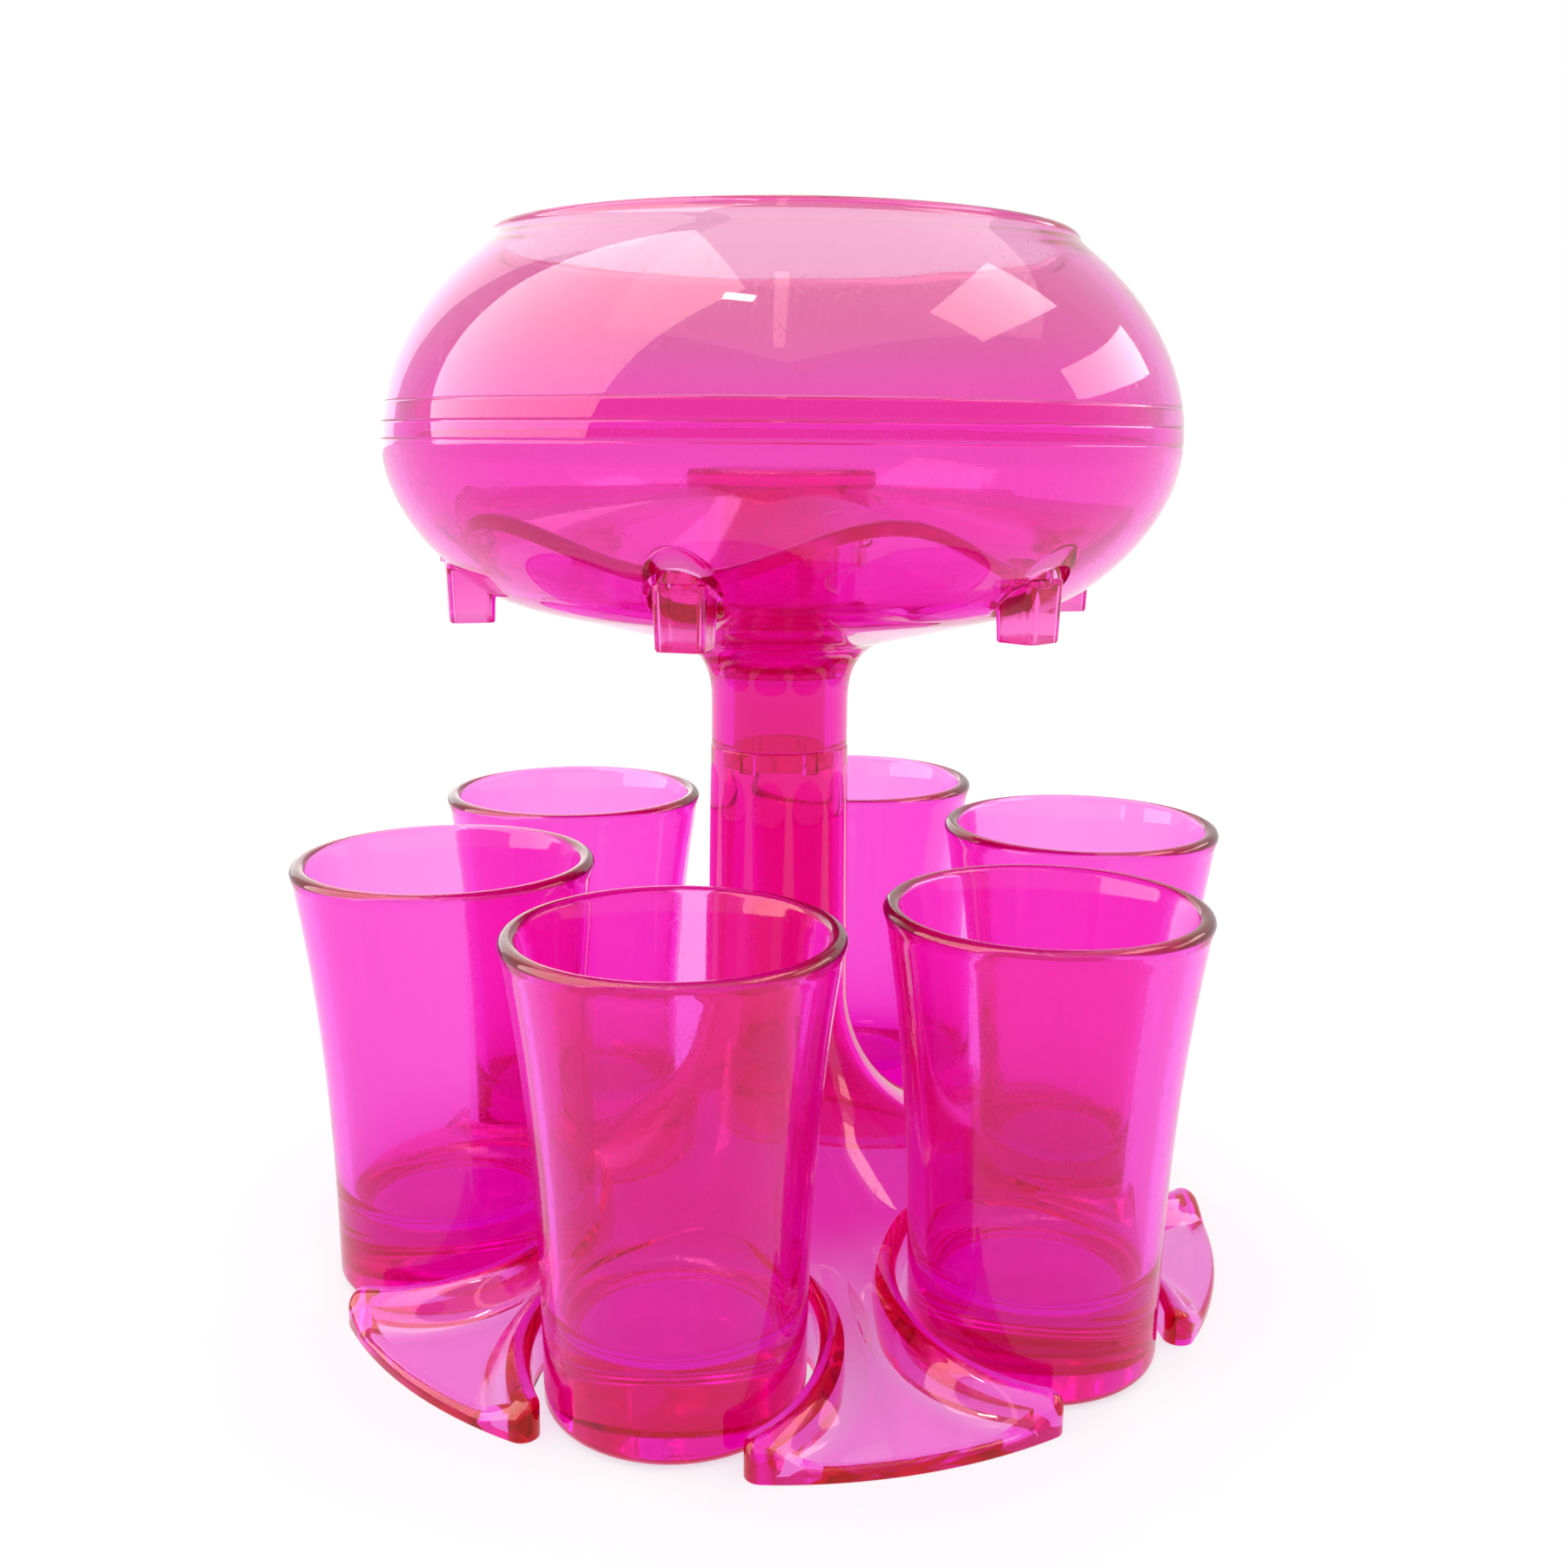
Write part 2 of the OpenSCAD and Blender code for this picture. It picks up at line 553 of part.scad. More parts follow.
// The spokes stand half a step beside the outlets' middles
function tray_point(i, j, drop) =
    let (a = 360 * (j + 0.5) / tray_spokes, r = tray_ring_r(i, a)) [r * sin(a), -r * cos(a), tray_z(r, a) - drop];

module tray_sheet() {
    n = tray_spokes;
    m = tray_steps + 2;
    low = m * n;
    edge = (m - 1) * n;
    points = [for (drop = [0, tray_wall], i = [0 : m - 1], j = [0 : n - 1]) tray_point(i, j, drop)];
    faces = [
        for (i = [0 : m - 2], j = [0 : n - 1])
            let (k = (j + 1) % n, a = i * n, b = (i + 1) * n)
                each concat(quad(a + j, a + k, b + k, b + j),
                            quad(low + a + j, low + b + j, low + b + k, low + a + k)),
        for (j = [0 : n - 1])
            let (k = (j + 1) % n)
                each concat(quad(j, low + j, low + k, k),
                            quad(edge + j, edge + k, low + edge + k, low + edge + j))];
    polyhedron(points, faces);
}

outlet_bore_r = spout_neck_r + spout_neck_gap;
outlet_r = outlet_bore_r + outlet_wall;
outlet_top_h = tray_z(spout_ring_r, 0) - tray_wall / 2;

// Tube round an outlet; its inner half ends inside the sheet, and its outer half rises as a lip
module outlet_tube() {
    reach = 2 * outlet_r;
    difference() {
        translate([0, 0, spout_shoulder_h]) cylinder(r = outlet_r, h = deep);
        rotate([90, 0, 0])
            linear_extrude(2 * reach, center = true)
                polygon([[-reach, outlet_top_h + reach * valley_slope], [0, outlet_top_h],
                         [reach, outlet_top_h + reach * outlet_rise],
                         [reach, spout_shoulder_h + 2 * deep], [-reach, spout_shoulder_h + 2 * deep]]);
    }
}

module distributor_tray() {
    color([0.90, 0.05, 0.50, 0.6])
        difference() {
            union() {
                tray_sheet();
                translate([0, 0, seat_h]) cylinder(r = sleeve_r, h = tray_hub_h - tray_wall / 2 - seat_h);
                for (i = [1 : station_count]) at_station(i, spout_ring_r) outlet_tube();
            }
            translate([0, 0, seat_h - overlap]) cylinder(r = neck_bore_r, h = deep);
            for (i = [1 : station_count])
                at_station(i, spout_ring_r)
                    translate([0, 0, spout_shoulder_h - overlap]) cylinder(r = outlet_bore_r, h = deep);
        }
}

plug_stem_r = neck_bore_r - plug_gap;
plug_top_h = tray_hub_h + plug_disc_t;

module hub_plug() {
    color([0.86, 0.02, 0.46, 0.7])
        rotate_extrude() polygon(concat(
            [[0, tray_hub_h], [plug_stem_r - plug_wall, tray_hub_h], [plug_stem_r - plug_wall, neck_step_h],
             [plug_stem_r, neck_step_h], [plug_stem_r, tray_hub_h], [plug_disc_r, tray_hub_h]],
            arc(plug_disc_r - plug_disc_round, plug_top_h - plug_disc_round, plug_disc_round, 0, 90, 4),
            [[0, plug_top_h]]));
}

// ---- spouts ------------------------------------------------------------------

spout_corner_least = 0.3;   // least radius of the corners inside a spout

// Outline of a spout: a rectangle with round corners, made of two bars and four rounds
module spout_plan(w, d, r) {
    square([d, w - 2 * r], center = true);
    square([d - 2 * r, w], center = true);
    for (x = [-1, 1], y = [-1, 1])
        translate([x * (d / 2 - r), y * (w / 2 - r)]) circle(r = r, $fn = 32);
}

module spout(i) {
    neck_bore = spout_neck_r - spout_wall;
    roof = spout_shoulder_h - spout_wall;
    color([0.93, 0.30, 0.65, 0.6])
        at_station(i, spout_ring_r)
            difference() {
                union() {
                    translate([0, 0, spout_mouth_h])
                        linear_extrude(spout_shoulder_h - spout_mouth_h)
                            spout_plan(spout_w, spout_d, spout_corner_r);
                    translate([0, 0, spout_shoulder_h - overlap])
                        cylinder(r = spout_neck_r, h = spout_neck_len + overlap);
                }
                translate([0, 0, spout_mouth_h - overlap])
                    linear_extrude(roof - spout_mouth_h + overlap)
                        spout_plan(spout_w - 2 * spout_wall, spout_d - 2 * spout_wall,
                                   max(spout_corner_r - spout_wall, spout_corner_least));
                translate([0, 0, roof - overlap]) cylinder(r = neck_bore, h = deep);
            }
}

base_stand();
bowl_lower_shell();
bowl_upper_shell();
distributor_tray();
hub_plug();
spout(1);  // spout_1
spout(2);  // spout_2
spout(3);  // spout_3
spout(4);  // spout_4
spout(5);  // spout_5
spout(6);  // spout_6
glass(1);  // glass_1
glass(2);  // glass_2
glass(3);  // glass_3
glass(4);  // glass_4
glass(5);  // glass_5
glass(6);  // glass_6
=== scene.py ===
import bmesh
import bpy
import numpy as np
from mathutils import Matrix


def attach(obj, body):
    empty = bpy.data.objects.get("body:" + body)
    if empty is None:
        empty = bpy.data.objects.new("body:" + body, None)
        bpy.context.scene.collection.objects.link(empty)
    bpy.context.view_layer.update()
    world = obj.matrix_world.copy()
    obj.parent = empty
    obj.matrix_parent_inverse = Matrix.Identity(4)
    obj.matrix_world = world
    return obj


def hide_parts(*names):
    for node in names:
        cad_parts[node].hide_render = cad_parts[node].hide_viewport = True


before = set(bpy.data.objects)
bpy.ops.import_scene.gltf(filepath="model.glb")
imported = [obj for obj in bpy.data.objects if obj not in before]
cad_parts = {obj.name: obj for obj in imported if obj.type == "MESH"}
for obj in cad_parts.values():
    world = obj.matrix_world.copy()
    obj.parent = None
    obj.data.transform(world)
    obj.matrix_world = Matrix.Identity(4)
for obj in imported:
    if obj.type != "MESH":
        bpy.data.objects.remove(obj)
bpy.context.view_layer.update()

# ---- camera and studio -------------------------------------------------------
# A plain white table under an even white sky, with soft windows on both sides
# and above that draw the pale patches on the bowl. The camera stands 27 cm
# from the column's axis, level with the widest line of the bowl.

MM = 0.001
camera_turn, camera_away, camera_height = np.radians(14.91), 269.5, 135.1
camera_yaw, camera_pitch, camera_roll = np.radians([0.18, 11.69, 0.49])


def level_turn(angle):
    """Matrix that turns points round the column by angle, counter-clockwise seen from above."""
    c, s = np.cos(angle), np.sin(angle)
    return np.array([[c, -s, 0.0], [s, c, 0.0], [0.0, 0.0, 1.0]])


def camera_matrix():
    """The camera looks along +Y, turned by its yaw and down by its pitch, then rolled about that line."""
    ahead = np.array([np.sin(camera_yaw) * np.cos(camera_pitch), np.cos(camera_yaw) * np.cos(camera_pitch),
                      -np.sin(camera_pitch)])
    right = np.array([np.cos(camera_yaw), -np.sin(camera_yaw), 0.0])
    upward = np.cross(right, ahead)
    across = right * np.cos(camera_roll) + upward * np.sin(camera_roll)
    upward = np.cross(across, ahead)
    place = np.array([0.0, -camera_away, camera_height]) * MM
    turned = level_turn(camera_turn) @ np.stack([across, upward, -ahead, place], axis=1)
    return Matrix([*turned.tolist(), [0, 0, 0, 1]])


camera = bpy.data.objects.new("camera", bpy.data.cameras.new("camera"))
camera.data.lens = 37.64
camera.data.sensor_width = 36.0
camera.data.clip_start = 0.01
camera.matrix_world = camera_matrix()
bpy.context.scene.collection.objects.link(camera)
bpy.context.scene.camera = camera

scene = bpy.context.scene
scene.view_settings.view_transform = "Standard"
bounces = 80          # light runs a long way inside the walls before it leaves at an edge
scene.cycles.max_bounces = bounces
scene.cycles.glossy_bounces = bounces
scene.cycles.transmission_bounces = bounces


def emptied(owner):
    """Clears the node tree of a world or a material, and returns its nodes and links."""
    owner.use_nodes = True
    owner.node_tree.nodes.clear()
    return owner.node_tree.nodes, owner.node_tree.links


def combined(nodes, links, operation, first, second):
    """The result of a Math node that works on two outputs."""
    node = nodes.new("ShaderNodeMath")
    node.operation = operation
    links.new(first, node.inputs[0])
    links.new(second, node.inputs[1])
    return node.outputs[0]


def ranged(nodes, links, value, from_min, from_max, to_min=0.0, to_max=1.0):
    """A Map Range node that carries an output from one range of values to another."""
    node = nodes.new("ShaderNodeMapRange")
    ends = {"From Min": from_min, "From Max": from_max, "To Min": to_min, "To Max": to_max}
    for end, number in ends.items():
        node.inputs[end].default_value = number
    links.new(value, node.inputs["Value"])
    return node


def seen_directly(nodes, links):
    """1 for a ray that shows the surroundings, and 0 for the others.

    Such a ray comes from the camera, is mirrored, or passes through the plastic."""
    ray = nodes.new("ShaderNodeLightPath")
    total = ray.outputs["Is Camera Ray"]
    for kind in ("Is Glossy Ray", "Is Transmission Ray"):
        total = combined(nodes, links, "MAXIMUM", total, ray.outputs[kind])
    return total


def white_sky():
    """The world is plain white where it is seen, and a softer white where it only lights the object."""
    lights, shows = 0.95, 1.0
    world = bpy.data.worlds.new("white_sky")
    nodes, links = emptied(world)
    strength = ranged(nodes, links, seen_directly(nodes, links), 0.0, 1.0, lights, shows)
    sky = nodes.new("ShaderNodeBackground")
    sky.inputs["Color"].default_value = (1, 1, 1, 1)
    links.new(strength.outputs["Result"], sky.inputs["Strength"])
    out = nodes.new("ShaderNodeOutputWorld")
    links.new(sky.outputs[0], out.inputs[0])
    scene.world = world


def white_table():
    """A round table top; its own white is added where it is seen, so that only the shadow stands out."""
    steps, radius, under = 96, 4.0, -0.00012
    matt_white, own_white = 0.5, 0.62
    turn = np.linspace(0, 2 * np.pi, steps, endpoint=False)
    edge = np.stack([radius * np.cos(turn), radius * np.sin(turn), np.full(steps, under)], axis=1)
    mesh = bpy.data.meshes.new("table")
    mesh.from_pydata(edge.tolist(), [], [list(range(steps))])
    table = bpy.data.objects.new("table", mesh)
    scene.collection.objects.link(table)
    material = bpy.data.materials.new("table_white")
    nodes, links = emptied(material)
    matt = nodes.new("ShaderNodeBsdfDiffuse")
    matt.inputs["Color"].default_value = (matt_white, matt_white, matt_white, 1)
    glow = nodes.new("ShaderNodeEmission")
    links.new(seen_directly(nodes, links), glow.inputs["Strength"])
    glow.inputs["Color"].default_value = (own_white, own_white, own_white, 1)
    both = nodes.new("ShaderNodeAddShader")
    links.new(matt.outputs[0], both.inputs[0])
    links.new(glow.outputs[0], both.inputs[1])
    out = nodes.new("ShaderNodeOutputMaterial")
    links.new(both.outputs[0], out.inputs["Surface"])
    mesh.materials.append(material)


def window(name, azimuth, tilt, low, high, half_width, radiance, distance=1.3):
    """A flat soft panel that shows only as a gloss on the plastic.

    Its plane stands square to the direction given by azimuth, from -Y towards +X, and tilt above the level.
    In that plane it reaches from low to high and half_width to both sides, in parts of the distance."""
    lamp = bpy.data.lights.new(name, "AREA")
    lamp.shape = "RECTANGLE"
    lamp.size, lamp.size_y = 2 * half_width * distance, (high - low) * distance
    lamp.energy = radiance * np.pi * lamp.size * lamp.size_y
    a, e = np.radians([azimuth, tilt])
    toward = np.array([np.sin(a) * np.cos(e), -np.cos(a) * np.cos(e), np.sin(e)])
    across = np.array([np.cos(a), np.sin(a), 0.0])
    upward = np.cross(toward, across)
    place = (toward + upward * (low + high) / 2) * distance + np.array([0.0, 0.0, camera_height * MM])
    turned = np.stack([across, upward, toward, place], axis=1)
    holder = bpy.data.objects.new(name, lamp)
    holder.matrix_world = Matrix([*turned.tolist(), [0, 0, 0, 1]])
    holder.visible_camera = holder.visible_diffuse = holder.visible_transmission = False
    scene.collection.objects.link(holder)


white_sky()
white_table()
window("tall_left", -65, 20, -0.44, 1.7, 0.57, 5.2)
window("far_left", -140, 20, -0.40, 1.1, 0.40, 1.3)
window("ceiling", 60, 90, -1.0, 0.3, 0.95, 1.2)
window("upper_right", 103, 50, -0.14, 0.14, 0.30, 5.5)
window("lower_right", 122, 21, -0.10, 0.10, 0.36, 4.5)
window("light_strip", 14, 60, -0.30, 0.35, 0.025, 3.5)
window("spot_lamp", -7, 66, -0.025, 0.025, 0.055, 60.0)

# ---- six glasses -------------------------------------------------------------
# Tapered tumblers, each moulded in one piece of clear hot-pink plastic: a wall
# that flares towards a round rim, over a thick solid foot. They stand loose on
# the table in the pockets of the stand.

glass_h, glass_rim_r, glass_foot_r, glass_flare = 70.0, 24.0, 19.0, 2.4
glass_wall, glass_floor, glass_floor_round, glass_foot_round = 2.6, 12.5, 5.0, 2.0
glass_ring_r = 55.5
station_count = 6
sector = 2 * np.pi / station_count


def pairs(a, b):
    """Points (a, b), one a row; a single number goes with every value of the other."""
    return np.stack(np.broadcast_arrays(a, b), axis=-1)


def arc(x, z, radius, start, end, steps):
    """Points of a circle round (x, z), from angle start to end in degrees."""
    turn = np.radians(np.linspace(start, end, steps + 1))
    return pairs(x + radius * np.cos(turn), z + radius * np.sin(turn))


def bend(a, b, c, steps):
    """Quadratic curve from a to c that leaves and arrives towards b: a mean of the three, weighted by t."""
    t = np.linspace(0, 1, steps + 1)[:, None]
    return (1 - t) ** 2 * np.array(a) + 2 * t * (1 - t) * np.array(b) + t**2 * np.array(c)


def eased(line, radius, steps=4, least_turn=25):
    """The line with its corners rounded: each that turns by least_turn degrees or more is cut back by radius,
    or by most_cut of the shorter side, and bridged by a quadratic curve."""
    most_cut = 0.45
    line = np.asarray(line, float)
    pieces = [line[:1]]
    for before, corner, after in zip(line[:-2], line[1:-1], line[2:]):
        back, on = before - corner, after - corner
        far_back, far_on = np.linalg.norm(back), np.linalg.norm(on)
        turn = 180 - np.degrees(np.arccos(np.clip(back @ on / (far_back * far_on), -1, 1)))
        if turn < least_turn:
            pieces.append(corner[None])
            continue
        cut = min(radius, most_cut * far_back, most_cut * far_on)
        pieces.append(bend(corner + back / far_back * cut, corner, corner + on / far_on * cut, steps))
    return np.concatenate(pieces + [line[-1:]])


def round_axis(r, turn, z):
    """Points at radius r and height z, turned from glass 1 counter-clockwise seen from above."""
    return np.stack([r * np.sin(turn), -r * np.cos(turn), z + 0 * turn], axis=-1)


def revolved(line, steps):
    """Carries a line of (radius, height) round the axis: rows follow the line, columns the turn."""
    return round_axis(line[:, :1], np.linspace(0, 2 * np.pi, steps, endpoint=False), line[:, 1:])


def quads(rows, columns, first, round_columns, round_rows=False):
    """Corners of the cells of a grid of points that are numbered row by row from first."""
    i = np.arange(rows if round_rows else rows - 1)[:, None]
    j = np.arange(columns if round_columns else columns - 1)[None, :]
    down, right = (i + 1) % rows, (j + 1) % columns
    cells = np.stack(np.broadcast_arrays(i * columns + j, i * columns + right,
                                         down * columns + right, down * columns + j), axis=2)
    return first + cells.reshape(-1, 4)


def moulded(name, grids, material, body, nodes, crease=32):
    """One closed piece from grids of points in mm, given as (grid, round) pairs whose edges meet.

    Points that meet are joined, cells without area fall away, and the faces are turned outwards."""
    points, cells, count = [], [], 0
    for grid, is_round in grids:
        rows, columns = grid.shape[:2]
        points.append(grid.reshape(-1, 3))
        cells.append(quads(rows, columns, count, is_round))
        count += rows * columns
    mesh = bpy.data.meshes.new(name)
    mesh.from_pydata((np.concatenate(points) * MM).tolist(), [], np.concatenate(cells).tolist())
    shape = bmesh.new()
    shape.from_mesh(mesh)
    bmesh.ops.remove_doubles(shape, verts=shape.verts, dist=2e-7)
    bmesh.ops.dissolve_degenerate(shape, edges=shape.edges, dist=1e-8)
    bmesh.ops.recalc_face_normals(shape, faces=shape.faces)
    shape.to_mesh(mesh)
    shape.free()
    mesh.shade_smooth()
    mesh.set_sharp_from_angle(angle=np.radians(crease))
    mesh.materials.append(material)
    piece = bpy.data.objects.new(name, mesh)
    scene.collection.objects.link(piece)
    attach(piece, body)
    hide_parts(*nodes)
    return piece


def texture(nodes, links, kind, place, **values):
    """A texture node of that kind on the points that place gives, with its plain inputs set."""
    node = nodes.new("ShaderNodeTex" + kind)
    links.new(place, node.inputs["Vector"])
    for name, value in values.items():
        node.inputs[name.replace("_", " ")].default_value = value
    return node


def clear_plastic(name, density, tint, low_tint_with_shading, high_tint_with_shading, low_h, high_h, smooth=0.01, dull=0.05,
                  ripple=0.1, ripple_size=0.014, marks=0.2):
    """Clear plastic that takes its depth of colour from the way light goes inside it.

    tint is what light keeps of each colour, and density how fast it loses the rest, per metre. The surface
    adds a tint at each crossing, and painted shading that changes with height: from low_tint_with_shading at
    the height low_h to high_tint_with_shading at high_h, in mm. The polish wavers between smooth and dull,
    the skin ripples, and fine hairlines are duller."""
    hair_crest, cloud_low, cloud_high, cloud_tint = 0.986, 0.35, 0.75, 0.16
    ripple_depth, grain_depth, grain_share = 0.0006, 0.00005, 0.02
    material = bpy.data.materials.new(name)
    nodes, links = emptied(material)
    place = nodes.new("ShaderNodeTexCoord").outputs["Object"]
    clouds = texture(nodes, links, "Noise", place, Scale=55.0, Detail=3.0, Roughness=0.55)
    ripples = texture(nodes, links, "Noise", place, Scale=1 / ripple_size, Detail=1.0, Roughness=0.4)
    grain = texture(nodes, links, "Noise", place, Scale=1500.0, Detail=2.0, Roughness=0.6)
    hairs = texture(nodes, links, "Wave", place, Scale=130.0, Distortion=14.0, Detail=3.0)
    hairs.inputs["Detail Scale"].default_value = 2.2

    hairline = ranged(nodes, links, hairs.outputs["Fac"], hair_crest, 1.0, 0.0, marks)
    polish = ranged(nodes, links, clouds.outputs["Fac"], cloud_low, cloud_high, smooth, dull)
    worn = combined(nodes, links, "ADD", polish.outputs["Result"], hairline.outputs["Result"])

    # painted shading: the skin's tint follows the height, copying where light through stacked walls and
    # window reflections make a piece look deeper in some places and paler in others
    height = nodes.new("ShaderNodeSeparateXYZ")
    links.new(place, height.inputs[0])
    shading_by_height = ranged(nodes, links, height.outputs["Z"], low_h * MM, high_h * MM)
    shading_by_height.interpolation_type = "SMOOTHSTEP"
    cloudy = nodes.new("ShaderNodeMath")
    cloudy.operation = "MULTIPLY_ADD"
    cloudy.inputs[1].default_value, cloudy.inputs[2].default_value = cloud_tint, -cloud_tint / 2
    links.new(clouds.outputs["Fac"], cloudy.inputs[0])
    blended = combined(nodes, links, "ADD", shading_by_height.outputs["Result"], cloudy.outputs[0])
    shade = nodes.new("ShaderNodeValToRGB")
    shade.color_ramp.elements[0].color = (*low_tint_with_shading, 1)
    shade.color_ramp.elements[1].color = (*high_tint_with_shading, 1)
    links.new(blended, shade.inputs["Fac"])

    waves, skin = nodes.new("ShaderNodeBump"), nodes.new("ShaderNodeBump")
    for bump, strength, distance, relief in ((waves, ripple, ripple_depth, ripples),
                                             (skin, grain_share, grain_depth, grain)):
        bump.inputs["Strength"].default_value = strength
        bump.inputs["Distance"].default_value = distance
        links.new(relief.outputs["Fac"], bump.inputs["Height"])
    links.new(waves.outputs["Normal"], skin.inputs["Normal"])

    plastic = nodes.new("ShaderNodeBsdfPrincipled")
    plastic.inputs["IOR"].default_value = 1.49
    plastic.inputs["Transmission Weight"].default_value = 1.0
    plastic.inputs["Specular Tint"].default_value = (1.0, 0.55, 0.45, 1)
    links.new(shade.outputs["Color"], plastic.inputs["Base Color"])
    links.new(worn, plastic.inputs["Roughness"])
    links.new(skin.outputs["Normal"], plastic.inputs["Normal"])
    depth = nodes.new("ShaderNodeVolumeAbsorption")
    depth.inputs["Color"].default_value = (*tint, 1)
    depth.inputs["Density"].default_value = density
    out = nodes.new("ShaderNodeOutputMaterial")
    links.new(plastic.outputs[0], out.inputs["Surface"])
    links.new(depth.outputs[0], out.inputs["Volume"])
    return material


def glass_line():
    """Section of a tumbler: slightly hollow foot, flared wall, round rim and thick floor."""
    def wall_r(z):
        """The foot's radius plus the flare, which grows as a power of the height."""
        return glass_foot_r + (glass_rim_r - glass_foot_r) * (z / glass_h) ** glass_flare

    half = glass_wall / 2
    flat_w, hollow = 1.5, 0.35
    stand_ring_r = glass_foot_r - glass_foot_round - flat_w
    under_r = np.linspace(0, stand_ring_r, 9)
    under = pairs(under_r, hollow * (1 - (under_r / stand_ring_r) ** 2))
    foot = arc(glass_foot_r - glass_foot_round, glass_foot_round, glass_foot_round, -90, 0, 8)
    z_out = np.linspace(glass_foot_round, glass_h - half, 48)[1:-1]
    outside = pairs(wall_r(z_out), z_out)
    rim = arc(wall_r(glass_h) - half, glass_h - half, half, 0, 180, 14)
    low = glass_floor + glass_floor_round
    z_in = np.linspace(glass_h - half, low, 44)[1:-1]
    inside = pairs(wall_r(z_in) - glass_wall, z_in)
    floor_r = wall_r(low) - glass_wall - glass_floor_round
    fillet = arc(floor_r, low, glass_floor_round, 0, -90, 12)
    floor = pairs(np.linspace(floor_r, 0, 7)[1:], glass_floor)
    return np.concatenate([under, foot, outside, rim, inside, fillet, floor])


# Painted shade: the glass skin is deeper towards the foot, from 8 to 30 mm up, where the thick foot looks
# dark.
glass_plastic = clear_plastic("glass_plastic", 300, (0.99, 0.0, 0.955), (0.90, 0.22, 0.70),
                              (0.975, 0.62, 0.82), 8, 30)
for station in range(1, station_count + 1):
    turn = 2 * np.pi * (station - 1) / station_count
    standing = revolved(glass_line(), 160) + glass_ring_r * np.array([np.sin(turn), -np.cos(turn), 0.0])
    moulded(f"tumbler_{station}", [(standing, True)], glass_plastic, f"glass_{station}",
            [f"glass_{station}"])

# ---- stand -------------------------------------------------------------------
# One thin moulding: a hollow column that sweeps out into six petals. A raised
# rounded wall runs round each pocket, and the underside is open. Six slots in
# the top of the socket take the keys of the bowl.

stand_r, stand_edge_h, stand_edge_slope, stand_wall, stand_edge_w = 75.5, 2.0, 0.036, 2.0, 3.0
sweep_r, sweep_slope = 27.0, 0.76
column_h, column_r, column_draft, column_wall = 86.5, 11.4, 0.5, 2.1
pocket_gap, pocket_wall, pocket_rim_h, pocket_tilt = 1.8, 3.0, 8.8, np.radians(12)
pocket_flank_w, pocket_end_extra = 6.5, 0.9
slot_turn, slot_w, slot_out, slot_depth = 45.0, 2.4, 1.0, 3.7

column_foot_r = column_r + column_draft
sweep_turn = np.degrees(np.arctan(1 / sweep_slope))
foot_start_r = column_foot_r + sweep_r * (1 - np.cos(np.radians(sweep_turn)))
foot_run = stand_r - foot_start_r
sweep_top_h = (stand_edge_h + foot_run * (stand_edge_slope + sweep_slope) / 2
               + sweep_r * np.sin(np.radians(sweep_turn)))
socket_r = column_r - column_wall
pocket_r = glass_foot_r + pocket_gap
crest_r = pocket_wall / 2
pocket_near_r = glass_ring_r - pocket_r
end_r = crest_r + pocket_end_extra
end_x = ((stand_r - end_r) ** 2 - (pocket_r + end_r) ** 2 + glass_ring_r**2) / (2 * glass_ring_r)
end_y = np.sqrt((stand_r - end_r) ** 2 - end_x**2)
hollow_r = stand_r - stand_edge_w
hollow_x = (hollow_r**2 - (pocket_r + pocket_wall) ** 2 + glass_ring_r**2) / (2 * glass_ring_r)
hollow_y = np.sqrt(hollow_r**2 - hollow_x**2)


def foot_slope(r):
    """The floor's slope grows evenly from the edge to the sweep."""
    return stand_edge_slope + (sweep_slope - stand_edge_slope) * (stand_r - r) / foot_run


def foot_z(r):
    """Height of the foot's floor, a parabola: the edge's height plus the mean slope times the way in."""
    return stand_edge_h + (stand_r - r) * (stand_edge_slope + foot_slope(r)) / 2


def ease(t):
    """Half a cosine wave, from 1 at 0 to 0 at 1."""
    return (1 + np.cos(np.pi * np.clip(t, 0, 1))) / 2


def rolled(inside_by, radius):
    """How much lower a rounded edge lies at inside_by from the outline: radius less the circle's height."""
    reach = radius - np.clip(inside_by, 0, radius)
    return radius - np.sqrt(np.maximum(radius**2 - reach**2, 0))


def petal_z(x, y, rolls=True):
    """Upper surface: the floor, plus the wall round the pocket, less the rolled edge.

    The wall's crest lies in a plane that drops outwards, and its flank eases into the floor."""
    r = np.hypot(x, y)
    floor_z = foot_z(r)
    out = np.hypot(x - glass_ring_r, y) - pocket_r
    crest_z = pocket_rim_h - np.tan(pocket_tilt) * (x - glass_ring_r)
    top = floor_z + np.maximum(crest_z - floor_z, 0) * ease((out - crest_r) / pocket_flank_w)
    if not rolls:
        return top
    # round the end of the wall the outline is a small circle; else the pocket or the foot's edge is nearer
    ex, ey = x - end_x, y - end_y
    turn = np.degrees(np.arctan2(ey, ex))
    pocket_side = np.degrees(np.arctan2(-end_y, glass_ring_r - end_x))
    edge_side = np.degrees(np.arctan2(end_y, end_x))
    at_end = (turn > pocket_side) & (turn < edge_side)
    toward_edge = np.clip((turn - pocket_side) / (edge_side - pocket_side), 0, 1)
    edge_roll = 1.1
    end_drop = rolled(end_r - np.hypot(ex, ey), crest_r + (edge_roll - crest_r) * toward_edge)
    return top - np.where(at_end, end_drop, np.maximum(rolled(out, crest_r), rolled(stand_r - r, edge_roll)))


def side_shares(half_w, steps_round, steps_flank, steps_rest):
    """Where columns cross half a petal: close on the rolled edge, even on the flank and beyond."""
    rounding = crest_r * (1 - np.cos(np.linspace(0, np.pi / 2, steps_round + 1)))
    flank = crest_r + pocket_flank_w * np.linspace(0, 1, steps_flank + 1)[1:]
    near = np.concatenate([rounding, flank])
    near = near[None, :] / half_w[:, None]
    rest = near[:, -1:] + (1 - near[:, -1:]) * np.linspace(0, 1, steps_rest + 1)[None, 1:]
    return np.concatenate([near, rest], axis=1)


